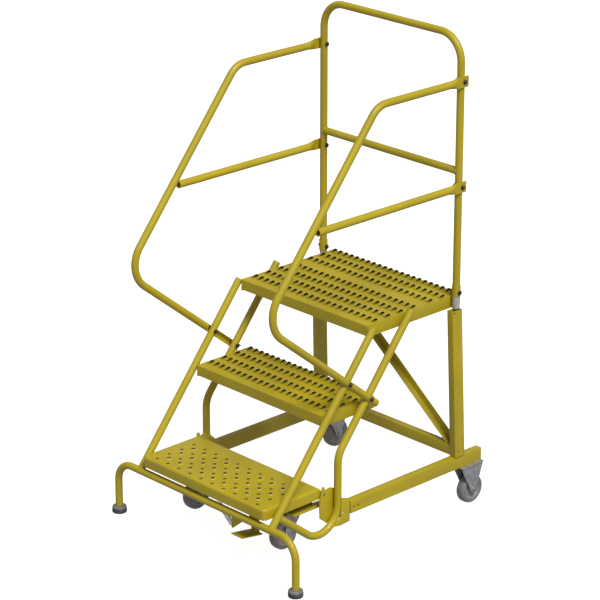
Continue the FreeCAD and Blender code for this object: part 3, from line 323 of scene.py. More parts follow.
def fit_out(obj, slot, body, nodes=(), angle=32.0):
    """Last steps of a piece: finish, smooth shading, body, slot and the nodes it stands for."""
    obj.data.materials.clear()
    obj.data.materials.append(FINISHES[slot])
    obj.data.shade_smooth()
    obj.data.set_sharp_from_angle(angle=math.radians(angle))
    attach(obj, body)
    if nodes:
        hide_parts(*nodes)


def islands(node):
    """Boxes of a node's separate solids, as (lowest, highest), sorted by place."""
    bm = bmesh.new()
    bm.from_mesh(frame["nodes"][node].data)
    bmesh.ops.remove_doubles(bm, verts=bm.verts, dist=1e-6)
    left = set(bm.verts)
    boxes = []
    while left:
        heap = [left.pop()]
        low = heap[0].co.copy()
        high = low.copy()
        while heap:
            vertex = heap.pop()
            for i in range(3):
                low[i] = min(low[i], vertex.co[i])
                high[i] = max(high[i], vertex.co[i])
            for edge in vertex.link_edges:
                other = edge.other_vert(vertex)
                if other in left:
                    left.remove(other)
                    heap.append(other)
        boxes.append((low, high))
    bm.free()
    return sorted(boxes, key=lambda b: (round(b[0].x, 4), round(b[0].y, 4), round(b[0].z, 4)))


def bridge(bm, rings):
    """Quads between each ring and the next, which has as many points."""
    for first, second in zip(rings, rings[1:]):
        count = len(first)
        for i in range(count):
            k = (i + 1) % count
            bm.faces.new((first[i], first[k], second[k], second[i]))


def lathe(bm, profile, place, steps=48):
    """Closed round shape about the X axis from (along, radius) pairs, moved to place."""
    rings = []
    for along, radius in profile:
        ring = []
        for i in range(steps):
            a = 2.0 * math.pi * i / steps
            ring.append(bm.verts.new(Vector((along, radius * math.cos(a), radius * math.sin(a))) + place))
        rings.append(ring)
    bridge(bm, rings + rings[:1])


def upright(bm, place):
    """Turns what lathe made about X into the same about Z."""
    turn = Matrix.Rotation(math.radians(-90.0), 4, "Y")
    bmesh.ops.transform(bm, matrix=Matrix.Translation(place) @ turn, verts=bm.verts)


def rounded(points, radius, steps=4):
    """Outline with each corner turned into an arc."""
    result = []
    count = len(points)
    for i, corner in enumerate(points):
        before = Vector(points[i - 1])
        here = Vector(corner)
        after = Vector(points[(i + 1) % count])
        a = before - here
        b = after - here
        reach = min(radius, 0.45 * a.length, 0.45 * b.length)
        p = here + a.normalized() * reach
        q = here + b.normalized() * reach
        for k in range(steps + 1):
            t = k / steps
            result.append(tuple((1 - t) ** 2 * p + 2 * t * (1 - t) * here + t * t * q))
    return result


def plate(bm, outline, low, high, plane="YZ"):
    """Flat plate between two levels of the axis square to its plane."""
    def spot(p, level):
        return {"YZ": (level, p[0], p[1]), "XY": (p[0], p[1], level)}[plane]

    first = [bm.verts.new(spot(p, low)) for p in outline]
    second = [bm.verts.new(spot(p, high)) for p in outline]
    bm.faces.new(first[::-1])
    bm.faces.new(second)
    bridge(bm, [first, second])


def ease_edges(bm, width):
    sharp = [e for e in bm.edges if len(e.link_faces) == 2
             and e.calc_face_angle(0.0) > math.radians(30.0)]
    bmesh.ops.bevel(bm, geom=sharp, offset=width, offset_type="OFFSET", segments=2,
                    profile=0.6, affect="EDGES", clamp_overlap=True)


def eased_copy(node):
    """Copy of a plain node with its coplanar triangles joined and its edges eased."""
    bm = bmesh.new()
    bm.from_mesh(frame["nodes"][node].data)
    bmesh.ops.remove_doubles(bm, verts=bm.verts, dist=1e-6)
    bmesh.ops.dissolve_limit(bm, angle_limit=math.radians(1.0), verts=bm.verts, edges=bm.edges,
                             delimit={"NORMAL"})
    ease_edges(bm, 0.6 * MM)
    fit_out(mesh_object("eased_" + node, bm), SLOT_OF[node], BODY_OF[node], [node])


# ---------------------------------------------------------------- serrated planks
def swept(bm, sections, marks):
    """Closed skin through sections with the same number of points, each point with its painted highlight and
    painted shade values.
    """
    layers = [bm.verts.layers.float.new(name) for name in ("rubbed", "grime")]
    rings = []
    for section in sections:
        ring = []
        for point, mark in zip(section, marks):
            vertex = bm.verts.new(point)
            for layer, value in zip(layers, mark):
                vertex[layer] = value
            ring.append(vertex)
        rings.append(ring)
    bridge(bm, rings)
    bm.faces.new(rings[0][::-1])
    bm.faces.new(rings[-1])
    bmesh.ops.recalc_face_normals(bm, faces=bm.faces)


def tooth_tile(sizes):
    """One pressed tooth: a hood with a notched lip over the pocket under it, its crest painted with
    highlight and its inside painted with shade.
    """
    bm = bmesh.new()
    stations = 10
    steps = 4
    wall = 1.5 * MM
    # Values per section point: painted highlight rising along the hood's outer crest, painted shade inside
    # the hood fading out just past its lip.
    marks = [(0.0, 0.0)]
    marks += [(max(0.0, 1.7 * j / steps - 0.7), 0.0) for j in range(steps + 1)]
    marks += [(0.2, 1.0)] + [(0.0, 1.0)] * (steps + 1) + [(0.0, 0.5), (0.0, 0.0)]
    sections = []
    for i in range(stations + 1):
        t = 2.0 * i / stations - 1.0
        y = t * sizes.tooth_length / 2.0
        swell = max(1.0 - t * t, 0.03)
        back = -sizes.tooth_depth * 0.66 * swell ** 0.5
        lip = sizes.tooth_depth * 0.34 * swell ** 0.5
        high = sizes.tooth_height * swell ** 0.8
        notch = 0.5 * MM * (1.0 if i % 2 else -1.0) * swell
        outer = []
        inner = []
        for j in range(steps + 1):
            u = j / steps
            rise = math.sin(u * math.pi / 2.0)
            x = back + (lip - back) * u
            outer.append((x, y, high * rise + (notch if j == steps else 0.0)))
            inner.append((max(x, back + wall * swell), y, max(high * rise - wall, 0.12 * MM)))
        inner[-1] = (lip, y, max(high + notch - wall, 0.12 * MM))
        section = [(back, y, -0.6 * MM)] + outer + [(lip, y, max(high + notch - wall * 0.6, 0.13 * MM))]
        section += inner[::-1] + [(lip + 1.2 * MM * swell, y, 0.1 * MM), (lip + 1.6 * MM, y, -0.6 * MM)]
        sections.append(section)
    swept(bm, sections, marks)
    return mesh_object("tooth_tile", bm)


def plank(node, margin, tile, tree, sizes):
    """Channel plank with rounded bends, its rows of pressed teeth standing on the top sheet."""
    low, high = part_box(node)
    depth = high.y - low.y
    top = high.z - sizes.cad_tooth
    drop = top - low.z
    usable = depth - margin - sizes.rear_margin
    rows = 1 + round(usable / sizes.row_pitch)
    pitch = usable / (rows - 1)
    bend = 3.0 * MM
    outer = [(6.0 * MM, -drop + 0.3 * MM), (1.6 * MM, -drop), (0.0, -drop + 1.4 * MM)]
    inner = [(6.0 * MM, -drop + 0.3 * MM + sizes.sheet), (sizes.sheet, -drop + sizes.sheet + 0.8 * MM)]
    for k in range(6):
        a = math.radians(18.0 * k)
        outer.append((bend - bend * math.cos(a), -bend + bend * math.sin(a)))
    inner.append((sizes.sheet, -bend))
    inner.append((bend, -sizes.sheet))
    line = outer + [(depth - y, z) for y, z in reversed(outer)]
    line += [(depth - y, z) for y, z in inner] + list(reversed(inner))
    bm = bmesh.new()
    plate(bm, [(low.y + y, top + z) for y, z in line], -high.x, high.x)
    outward(bm)
    obj = mesh_object("serrated_" + node, bm)
    run_tree(obj, tree, {
        "Tile": tile, "Columns": int((2.0 * high.x + 0.1 * MM) / sizes.tooth_pitch), "Rows": rows,
        "Column pitch": sizes.tooth_pitch, "Row pitch": pitch,
        "Centre": (0.0, low.y + margin + (rows - 1) * pitch / 2.0, top),
        "Finish": FINISHES["yellow_paint"]})
    fit_out(obj, "yellow_paint", "base", [node], angle=38.0)


# ---------------------------------------------------------------- bottom tread
def tread_outline(low, high, inset, corner, steps=6):
    """Plan outline of the tread: round front corners, square back ones."""
    x = high.x - inset
    y0 = low.y + inset
    y1 = high.y - inset
    radius = max(corner - inset, 0.5 * MM)
    points = [(x, y1), (-x, y1)]
    for cx, start in ((-x + radius, 180.0), (x - radius, 270.0)):
        for k in range(steps + 1):
            a = math.radians(start + 90.0 * k / steps)
            points.append((cx + radius * math.cos(a), y0 + radius + radius * math.sin(a)))
    return points


def hole_spots(low, high, sizes):
    """Places of the plain holes and of the raised ones between them."""
    pitch = sizes.hole_pitch
    columns = int((2.0 * high.x - 60.0 * MM) / pitch) + 1
    rows = int((high.y - low.y - sizes.hole_row - 16.0 * MM) / pitch) + 1
    plain = []
    raised = []
    for spots, shift in ((plain, 0.0), (raised, 0.5)):
        for column in range(columns - int(2.0 * shift)):
            for row in range(rows - int(2.0 * shift)):
                spots.append(((column + shift - (columns - 1) / 2.0) * pitch,
                              low.y + sizes.hole_row + (row + shift) * pitch))
    return plain, raised


def round_pattern(name, profile, steps=14):
    """Round closed piece about Z from (height, radius, painted highlight, painted shade) points."""
    bm = bmesh.new()
    layers = [bm.verts.layers.float.new(key) for key in ("rubbed", "grime")]
    rings = []
    for z, radius, rubbed, grime in profile:
        ring = []
        for k in range(steps):
            a = 2.0 * math.pi * k / steps
            vertex = bm.verts.new((radius * math.cos(a), radius * math.sin(a), z))
            vertex[layers[0]] = rubbed
            vertex[layers[1]] = grime
            ring.append(vertex)
        rings.append(ring)
    bridge(bm, rings + rings[:1])
    bmesh.ops.recalc_face_normals(bm, faces=bm.faces)
    return mesh_object(name, bm)


def bottom_tread(tree, sizes):
    """Perforated pan of the lowest tread with its flanges, hem, raised buttons and hinge ears."""
    node = "bottom_tread"
    low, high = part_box(node)
    pan_low, pan_high = low.copy(), high.copy()
    pan_high.y = low.y + sizes.pan_depth
    bend = sizes.pan_bend
    corner = sizes.pan_corner
    bm = bmesh.new()
    rings = []
    levels = [(5.5 * MM, low.z + 0.6 * MM), (1.0 * MM, low.z), (0.0, low.z + 1.2 * MM)]
    for k in range(6):
        a = math.radians(90.0 * k / 5.0)
        levels.append((bend - bend * math.cos(a), high.z - bend + bend * math.sin(a)))
    for inset, z in levels:
        rings.append([bm.verts.new((x, y, z)) for x, y in tread_outline(pan_low, pan_high, inset, corner)])
    bridge(bm, rings)
    edges = [bm.edges.get((rings[-1][i], rings[-1][(i + 1) % len(rings[-1])]))
             for i in range(len(rings[-1]))]
    plain, raised = hole_spots(pan_low, pan_high, sizes)
    for spots, radius in ((plain, sizes.hole_radius + 0.5 * MM), (raised, sizes.button_radius - 3.0 * MM)):
        for x, y in spots:
            ring = []
            for k in range(16):
                a = math.radians(22.5 * k)
                ring.append(bm.verts.new((x + radius * math.cos(a), y + radius * math.sin(a), high.z)))
            edges += [bm.edges.new((ring[k], ring[(k + 1) % 16])) for k in range(16)]
    bmesh.ops.triangle_fill(bm, use_beauty=True, use_dissolve=False, edges=edges)
    for face in bm.faces:
        face.normal_update()
        if face.normal.z < -0.5 and face.calc_center_median().z > high.z - 0.5 * MM:
            face.normal_flip()
    bmesh.ops.recalc_face_normals(bm, faces=bm.faces)
    flat = [f for f in bm.faces if f.calc_center_median().z > high.z - 0.1 * MM]
    if sum(f.normal.z for f in flat) < 0.0:
        bmesh.ops.reverse_faces(bm, faces=bm.faces)
    pan = mesh_object("perforated_bottom_tread", bm)
    wall = pan.modifiers.new("sheet", "SOLIDIFY")
    wall.thickness = sizes.sheet
    wall.offset = -1.0
    settle(pan)
    fit_out(pan, "yellow_paint", "tread", [node], angle=30.0)

    ears = bmesh.new()
    for side in (1.0, -1.0):
        x0, x1 = sorted((side * (high.x - 3.0 * MM), side * (high.x - 0.15 * MM)))
        outline = rounded([(pan_high.y - 12.0 * MM, low.z + 0.2 * MM), (high.y, low.z + 0.2 * MM),
                           (high.y, low.z + 24.0 * MM), (pan_high.y - 12.0 * MM, low.z + 24.0 * MM)],
                          4.0 * MM)
        plate(ears, outline, x0, x1)
    outward(ears)
    fit_out(mesh_object("tread_hinge_ears", ears), "yellow_paint", "tread")

    r = sizes.button_radius
    # Button profile: painted highlight on its crown, painted shade down its bore.
    button = round_pattern("button", [
        (-1.5 * MM, r * 1.02, 0.0, 0.0), (0.3 * MM, r, 0.0, 0.0), (1.9 * MM, r * 0.86, 0.5, 0.0),
        (2.9 * MM, r * 0.72, 1.0, 0.0), (2.6 * MM, r * 0.60, 0.5, 0.6), (0.5 * MM, r * 0.55, 0.0, 1.0),
        (-3.0 * MM, r * 0.54, 0.0, 1.0), (-3.0 * MM, r * 0.66, 0.0, 0.0)])
    copies("tread_buttons", button, tree, [(x, y, high.z) for x, y in raised],
           [(0.0, 0.0, 1.0)] * len(raised), "yellow_paint", "tread", angle=50.0)
    r = sizes.hole_radius
    # Collar profile: painted shade down the hole's wall.
    collar = round_pattern("collar", [
        (-0.8 * MM, r + 1.6 * MM, 0.0, 0.0), (0.12 * MM, r + 1.3 * MM, 0.0, 0.0),
        (0.05 * MM, r + 0.3 * MM, 0.0, 0.3), (-0.6 * MM, r, 0.0, 0.9), (-4.6 * MM, r - 0.2 * MM, 0.0, 1.0),
        (-4.6 * MM, r + 1.2 * MM, 0.0, 0.0)])
    copies("tread_hole_collars", collar, tree, [(x, y, high.z) for x, y in plain],
           [(0.0, 0.0, 1.0)] * len(plain), "yellow_paint", "tread", angle=50.0)


def copies(name, pattern, tree, spots, aims, slot, body, nodes=(), turn=0.0, angle=32.0):
    """Copies of a pattern object at the spots, each with its Z along its aim."""
    mesh = bpy.data.meshes.new(name)
    mesh.from_pydata([tuple(s) for s in spots], [], [])
    layer = mesh.attributes.new("aim", "FLOAT_VECTOR", "POINT")
    for item, aim in zip(layer.data, aims):
        item.vector = aim
    obj = bpy.data.objects.new(name, mesh)
    bpy.context.scene.collection.objects.link(obj)
    run_tree(obj, tree, {"Piece": pattern, "Turn": turn, "Seed": 7, "Finish": FINISHES[slot]})
    bpy.data.objects.remove(pattern)
    fit_out(obj, slot, body, nodes, angle=angle)


# ---------------------------------------------------------------- casters
def wheel(name, sizes):
    """Tyre with a crowned tread and a stepped hub, about the wheel's own axle."""
    low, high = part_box(name + "_tyre")
    place = (low + high) / 2.0
    r = (high.z - low.z) / 2.0
    w = (high.x - low.x) / 2.0
    hub_low, hub_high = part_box(name + "_hub")
    h = (hub_high.x - hub_low.x) / 2.0
    rim = (hub_high.z - hub_low.z) / 2.0
    tyre = bmesh.new()
    half = [(0.0, r), (0.42 * w, r - 0.05 * MM), (0.66 * w, r - 0.7 * MM), (0.86 * w, r - 2.4 * MM),
            (0.97 * w, r - 5.0 * MM), (w, r - 8.0 * MM), (0.93 * w, r - 8.8 * MM), (0.93 * w, r - 11.5 * MM),
            (w - 0.2 * MM, r - 12.3 * MM), (0.97 * w, rim + 0.1 * MM)]
    profile = [(-x, y) for x, y in reversed(half[1:])] + half
    lathe(tyre, profile, place, 72)
    outward(tyre)
    fit_out(mesh_object("tyre_of_" + name, tyre), "wheel_tyre", name, [name + "_tyre"], angle=40.0)
    hub = bmesh.new()
    bore = sizes.axle_radius + 0.05 * MM
    half = [(0.90 * w, rim), (0.94 * w, rim - 1.5 * MM), (0.90 * w, rim - 3.2 * MM),
            (0.55 * w, rim - 4.6 * MM), (0.50 * w, rim - 8.0 * MM), (0.62 * w, rim - 9.0 * MM),
            (0.62 * w, rim - 11.0 * MM), (0.44 * w, rim - 12.0 * MM), (0.44 * w, 15.5 * MM),
            (0.70 * w, 14.5 * MM), (0.98 * h, 12.0 * MM), (h, 10.5 * MM), (h, bore)]
    profile = [(-x, y) for x, y in half] + half[::-1]
    lathe(hub, profile, place, 64)
    outward(hub)
    fit_out(mesh_object("hub_of_" + name, hub), "wheel_hub", name, [name + "_hub"], angle=28.0)


def fork(node, wheel_name):
    """Pressed fork: two tapered cheeks with rolled edges under a flat crown plate."""
    low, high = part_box(node)
    hub_low, hub_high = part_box(wheel_name + "_hub")
    centre = (hub_low + hub_high) / 2.0
    inner = (hub_high.x - hub_low.x) / 2.0 + 1.0 * MM
    sheet = 3.0 * MM
    bm = bmesh.new()
    crown = high.z
    nose = []
    for k in range(9):
        a = math.radians(205.0 + 130.0 * k / 8.0)
        nose.append((centre.y + 12.0 * MM * math.cos(a), centre.z + 12.0 * MM * math.sin(a)))
    outline = nose + [(high.y - 9.0 * MM, crown - 26.0 * MM), (high.y - 4.0 * MM, crown - 12.0 * MM),
                      (high.y - 3.0 * MM, crown - 1.0 * MM), (low.y + 3.0 * MM, crown - 1.0 * MM),
                      (low.y + 4.0 * MM, crown - 12.0 * MM), (low.y + 9.0 * MM, crown - 26.0 * MM)]
    for side in (1.0, -1.0):
        x0, x1 = sorted((centre.x + side * inner, centre.x + side * (inner + sheet)))
        plate(bm, outline, x0, x1)
    half = (high.x - low.x) / 2.0
    corners = [(centre.x - half, low.y), (centre.x + half, low.y), (centre.x + half, high.y),
               (centre.x - half, high.y)]
    plate(bm, rounded(corners, 6.0 * MM), crown - 4.0 * MM, crown, "XY")
    bmesh.ops.recalc_face_normals(bm, faces=bm.faces)
    ease_edges(bm, 0.7 * MM)
    fit_out(mesh_object("pressed_" + node, bm), "caster_steel", BODY_OF[node], [node])


def swivel_races():
    """Ball-race cups under square top plates."""
    bm = bmesh.new()
    boxes = islands("swivel_races")
    for low, high in boxes:
        centre = Vector(((low.x + high.x) / 2.0, (low.y + high.y) / 2.0, high.z))
        corners = [(low.x, low.y), (high.x, low.y), (high.x, high.y), (low.x, high.y)]
        plate(bm, rounded(corners, 7.0 * MM), high.z - 4.0 * MM, high.z, "XY")
        cup = bmesh.new()
        drop = high.z - low.z
        profile = [(-3.5 * MM, 24.0 * MM), (-5.0 * MM, 27.5 * MM), (-8.0 * MM, 29.0 * MM),
                   (-10.0 * MM, 28.0 * MM), (-10.6 * MM, 26.0 * MM), (-drop, 26.0 * MM), (-drop, 4.6 * MM),
                   (-3.5 * MM, 4.6 * MM)]
        lathe(cup, profile, Vector((0.0, 0.0, 0.0)), 48)
        bmesh.ops.recalc_face_normals(cup, faces=cup.faces)
        upright(cup, centre)
        mesh = bpy.data.meshes.new("cup")
        cup.to_mesh(mesh)
        cup.free()
        bm.from_mesh(mesh)
        bpy.data.meshes.remove(mesh)
    bmesh.ops.recalc_face_normals(bm, faces=bm.faces)
    fit_out(mesh_object("ball_races", bm), "caster_steel", "caster_frame_body", ["swivel_races"])


# ---------------------------------------------------------------- feet
def feet():
    """Rubber feet with a ribbed skirt, each under a pale collar."""
    for side in ("right", "left"):
        low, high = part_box("foot_pad_" + side)
        centre = Vector(((low.x + high.x) / 2.0, (low.y + high.y) / 2.0, low.z))
        r = (high.x - low.x) / 2.0
        t = high.z - low.z
        bm = bmesh.new()
        profile = [(0.0, r - 4.0 * MM), (0.9 * MM, r - 1.4 * MM), (2.4 * MM, r - 0.3 * MM), (4.0 * MM, r),
                   (5.2 * MM, r), (5.7 * MM, r - 0.9 * MM), (6.6 * MM, r - 0.9 * MM), (7.1 * MM, r),
                   (9.2 * MM, r), (9.7 * MM, r - 0.9 * MM), (10.6 * MM, r - 0.9 * MM), (11.1 * MM, r),
                   (t - 0.8 * MM, r), (t, r - 0.8 * MM), (t, 13.0 * MM), (5.7 * MM, 13.0 * MM),
                   (5.7 * MM, 0.05 * MM), (0.0, 0.05 * MM)]
        lathe(bm, profile, Vector((0.0, 0.0, 0.0)), 56)
        outward(bm)
        upright(bm, centre)
        fit_out(mesh_object("ribbed_foot_" + side, bm), "foot_rubber", "base", ["foot_pad_" + side])
        low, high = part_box("foot_cup_" + side)
        centre.z = low.z
        r = (high.x - low.x) / 2.0
        t = high.z - low.z
        bm = bmesh.new()
        profile = [(0.0, 13.0 * MM), (0.0, r - 0.6 * MM), (0.7 * MM, r), (t * 0.55, r),
                   (t * 0.70, r - 1.2 * MM), (t * 0.86, r - 5.0 * MM), (t * 0.95, r - 8.5 * MM),
                   (t, 16.0 * MM), (t, 13.0 * MM)]
        lathe(bm, profile, Vector((0.0, 0.0, 0.0)), 56)
        outward(bm)
        upright(bm, centre)
        fit_out(mesh_object("foot_collar_" + side, bm), "foot_collar", "base", ["foot_cup_" + side],
                angle=50.0)


# ---------------------------------------------------------------- fasteners
def hex_head(width, height, washer):
    """Hexagon head with a chamfered top over a round washer, its seat at zero."""
    bm = bmesh.new()
    rings = []
    seat = 1.2 * MM if washer else 0.0
    corner = width / math.sqrt(3.0)
    if washer:
        for z, radius in ((0.0, washer), (seat * 0.8, washer), (seat, washer - 0.3 * MM)):
            rings.append([(radius * math.cos(math.radians(30.0 * k)),
                           radius * math.sin(math.radians(30.0 * k)), z) for k in range(12)])
    for z, share in ((seat, 1.0), (seat + height - 1.0 * MM, 1.0), (seat + height, 0.86)):
        ring = []
        for k in range(12):
            a = math.radians(30.0 * k)
            reach = corner if k % 2 == 0 else width / 2.0
            ring.append((share * reach * math.cos(a), share * reach * math.sin(a), z))
        rings.append(ring)
    verts = [[bm.verts.new(p) for p in ring] for ring in rings]
    bridge(bm, verts)
    bm.faces.new(verts[0][::-1])
    bm.faces.new(verts[-1])
    return mesh_object("hex_head", bm)


def nut_end(width, height, reach):
    """Nut with the bolt's rounded end standing out of it, its seat at zero."""
    head = hex_head(width, height, 0.0)
    bm = bmesh.new()
    bm.from_mesh(head.data)
    radius = 4.0 * MM
    rings = []
    for z, r in ((height - 0.5 * MM, radius), (height + reach - 0.8 * MM, radius),
                 (height + reach, radius - 0.9 * MM)):
        rings.append([bm.verts.new((r * math.cos(math.radians(30.0 * k)),
                                    r * math.sin(math.radians(30.0 * k)), z)) for k in range(12)])
    bridge(bm, rings)
    bm.faces.new(rings[-1])
    bm.faces.new(rings[0][::-1])
    bm.to_mesh(head.data)
    bm.free()
    return head


def cross_bolts(node, tree):
    """Head and nut of each bolt that lies along X in a node of bolts; heads face outwards."""
    heads = []
    nuts = []
    head_aims = []
    nut_aims = []
    for low, high in islands(node):
        centre = (low + high) / 2.0
        side = 1.0 if centre.x > 0.0 else -1.0
        outer = high.x if side > 0.0 else low.x
        inner = low.x if side > 0.0 else high.x
        heads.append((outer - side * 5.3 * MM, centre.y, centre.z))
        nuts.append((inner + side * 9.5 * MM, centre.y, centre.z))
        head_aims.append((side, 0.0, 0.0))
        nut_aims.append((-side, 0.0, 0.0))
    copies("heads_of_" + node, hex_head(13.0 * MM, 4.1 * MM, 8.0 * MM), tree, heads, head_aims, "dark_bolt",
           BODY_OF[node], [node], turn=1.0)
    copies("nuts_of_" + node, nut_end(13.0 * MM, 6.5 * MM, 2.8 * MM), tree, nuts, nut_aims, "dark_bolt",
           BODY_OF[node], turn=1.0)


# ---------------------------------------------------------------- welds
def tube_seam(side, r, leg_x, y, z, steps=40):
    """Seam of the cross tube's end on the near face of the guard rail's leg."""
    points = []
    for k in range(steps):
        a = 2.0 * math.pi * k / steps
        dy = r * math.cos(a)
        dz = r * math.sin(a)
        x = leg_x - math.sqrt(max(r * r - dy * dy, 0.0))
        points.append(Vector((side * x, y + dy, z + dz)))
    return points


def bead(name, loops, tree, sizes):
    """Weld beads along closed loops of points."""
    bm = bmesh.new()
    for points in loops:
        verts = [bm.verts.new(p) for p in points]
        for a, b in zip(verts, verts[1:] + verts[:1]):
            bm.edges.new((a, b))
    obj = mesh_object(name, bm)
    run_tree(obj, tree, {"Bead radius": sizes.bead_radius, "Ripple length": 3.2 * MM,
                         "Finish": FINISHES["yellow_paint"]})
    fit_out(obj, "yellow_paint", "base", angle=60.0)


# ---------------------------------------------------------------- settings
def length(label, default, note):
    return bpy.props.FloatProperty(name=label, description=note, default=default, min=0.0,
                                   precision=5, unit="LENGTH")


def colour(label, default, note):
    return bpy.props.FloatVectorProperty(name=label, description=note, default=default, size=3,
                                         subtype="COLOR", min=0.0, max=1.0)


class LadderColours(bpy.types.PropertyGroup):
    """Colours of the finishes."""
    yellow: colour("Yellow coat", (0.455, 0.352, 0.008), "Powder coat of the frame")
    zinc: colour("Zinc", (0.40, 0.42, 0.42), "Bolts, pins and stubs")
    caster: colour("Caster steel", (0.47, 0.47, 0.50), "Forks and races")
    tyre: colour("Tyre", (0.20, 0.185, 0.185), "Tread rubber")
    hub: colour("Hub", (0.30, 0.285, 0.285), "Wheel centres")
    foot: colour("Foot", (0.045, 0.045, 0.05), "Rubber feet")
    collar: colour("Collar", (0.16, 0.16, 0.175), "Bands over the feet")
    bolt: colour("Bolts", (0.06, 0.055, 0.05), "Black-oxide steel of the bolts")


class TreadSizes(bpy.types.PropertyGroup):
    """Sizes of the sheet-metal treads."""
    sheet: length("Sheet", 2.2 * MM, "Thickness of the tread sheet")
    tooth_pitch: length("Tooth pitch", 26.9 * MM, "Distance between teeth along a row")
    tooth_length: length("Tooth length", 32.0 * MM, "Length of a tooth from front to back")
    tooth_depth: length("Tooth depth", 17.5 * MM, "Width of a tooth's hood")
    tooth_height: length("Tooth height", 11.0 * MM, "How far a tooth stands up")
    cad_tooth: length("Frame's tooth", 7.0 * MM, "How far the frame's own teeth stand up")
    row_pitch: length("Row pitch", 58.7 * MM, "Distance between rows")
    front_margin: length("Front margin", 47.0 * MM, "From the front edge to the first row")
    rear_plank_margin: length("Rear plank margin", 62.5 * MM,
                              "From the rear plank's front edge to its first row")
    rear_margin: length("Rear margin", 17.0 * MM, "From the last row to the back edge")
    pan_depth: length("Pan depth", 250.0 * MM, "Depth of the bottom tread without its ears")
    pan_bend: length("Pan bend", 9.0 * MM, "Radius between the bottom tread's top and flanges")
    pan_corner: length("Pan corner", 16.0 * MM, "Radius of the bottom tread's front corners")
    hole_pitch: length("Hole pitch", 54.4 * MM, "Distance between like holes of the bottom tread")
    hole_row: length("First hole row", 21.3 * MM, "From the front edge to the first row of holes")
    hole_radius: length("Hole radius", 5.6 * MM, "Plain holes of the bottom tread")
    button_radius: length("Button radius", 12.5 * MM, "Raised holes of the bottom tread")


class FrameSizes(bpy.types.PropertyGroup):
    """Sizes of the tube frame's details."""
    tube_radius: length("Tube radius", 12.7 * MM, "Outer radius of the frame tubes")
    bead_radius: length("Bead radius", 1.9 * MM, "Radius of the weld beads")
    axle_radius: length("Axle radius", 4.75 * MM, "Radius of the wheel axles")


class StudioSettings(bpy.types.PropertyGroup):
    """Camera and light."""
    lens: bpy.props.FloatProperty(name="Lens", description="Focal length", default=158.92,
                                  unit="CAMERA")
    key: bpy.props.FloatProperty(name="Key", description="Strength of the main light", default=2.9)
    sky: bpy.props.FloatProperty(name="Sky", description="Strength of the even light", default=0.36)
    floor: bpy.props.FloatProperty(name="Floor", description="Paleness of the floor", default=0.93)


class LadderSettings(bpy.types.PropertyGroup):
    """Everything that a user would change."""
    colours: bpy.props.PointerProperty(type=LadderColours, name="Colours", description="Finishes")
    treads: bpy.props.PointerProperty(type=TreadSizes, name="Treads", description="Tread sizes")
    tubes: bpy.props.PointerProperty(type=FrameSizes, name="Frame", description="Frame sizes")
    studio: bpy.props.PointerProperty(type=StudioSettings, name="Studio", description="Stage")


# ---------------------------------------------------------------- operators
class LADDER_OT_finishes(bpy.types.Operator):
    """Make the finishes and put them on every node of the frame"""
    bl_idname = "ladder.finishes"
    bl_label = "Finishes"

    def execute(self, context):
        make_finishes(context.scene.ladder.colours)
        for name, obj in frame["nodes"].items():
            finish = "galvanised" if name == "guard_stubs" else SLOT_OF[name]
            obj.data.materials.clear()
            obj.data.materials.append(FINISHES[finish])
        return {"FINISHED"}


class LADDER_OT_planks(bpy.types.Operator):
    """Build the serrated middle tread and the two platform planks"""
    bl_idname = "ladder.planks"
    bl_label = "Serrated planks"

    def execute(self, context):
        sizes = context.scene.ladder.treads
        tree = rows_tree()
        tile = tooth_tile(sizes)
        for node, margin in (("middle_tread", sizes.front_margin),
                             ("platform_front_plank", sizes.front_margin),
                             ("platform_rear_plank", sizes.rear_plank_margin)):
            plank(node, margin, tile, tree, sizes)
        bpy.data.objects.remove(tile)
        return {"FINISHED"}


class LADDER_OT_bottom_tread(bpy.types.Operator):
    """Build the perforated bottom tread"""
    bl_idname = "ladder.bottom_tread"
    bl_label = "Bottom tread"

    def execute(self, context):
        bottom_tread(copies_tree(), context.scene.ladder.treads)
        return {"FINISHED"}


class LADDER_OT_plates(bpy.types.Operator):
    """Ease the edges of the plates, rails and brackets"""
    bl_idname = "ladder.plates"
    bl_label = "Plates and rails"

    def execute(self, context):
        nodes = ["middle_ends", "platform_ends", "rear_cross_rail", "rear_brace", "rail_plates",
                 "caster_frame", "release_pedal", "spring_lug"]
        for side in ("right", "left"):
            nodes += ["side_rail_" + side, "rear_post_" + side, "pivot_plate_" + side]
        for node in nodes:
            eased_copy(node)
        return {"FINISHED"}


class LADDER_OT_casters(bpy.types.Operator):
    """Build the wheels, forks and swivel races"""
    bl_idname = "ladder.casters"
    bl_label = "Casters"

    def execute(self, context):
        sizes = context.scene.ladder.tubes
        for side in ("right", "left"):
            for end in ("front", "rear"):
                name = end + "_wheel_" + side
                wheel(name, sizes)
                fork(end + "_fork_" + side, name)
        swivel_races()
        return {"FINISHED"}


class LADDER_OT_feet(bpy.types.Operator):
    """Build the rubber feet and their collars"""
    bl_idname = "ladder.feet"
    bl_label = "Feet"

    def execute(self, context):
        feet()
        return {"FINISHED"}


class LADDER_OT_fasteners(bpy.types.Operator):
    """Build the bolt heads and nuts"""
    bl_idname = "ladder.fasteners"
    bl_label = "Fasteners"

    def execute(self, context):
        tree = copies_tree()
        for node in ("handrail_bolts", "guard_tab_bolts", "guard_stub_bolts"):
            cross_bolts(node, tree)
        return {"FINISHED"}


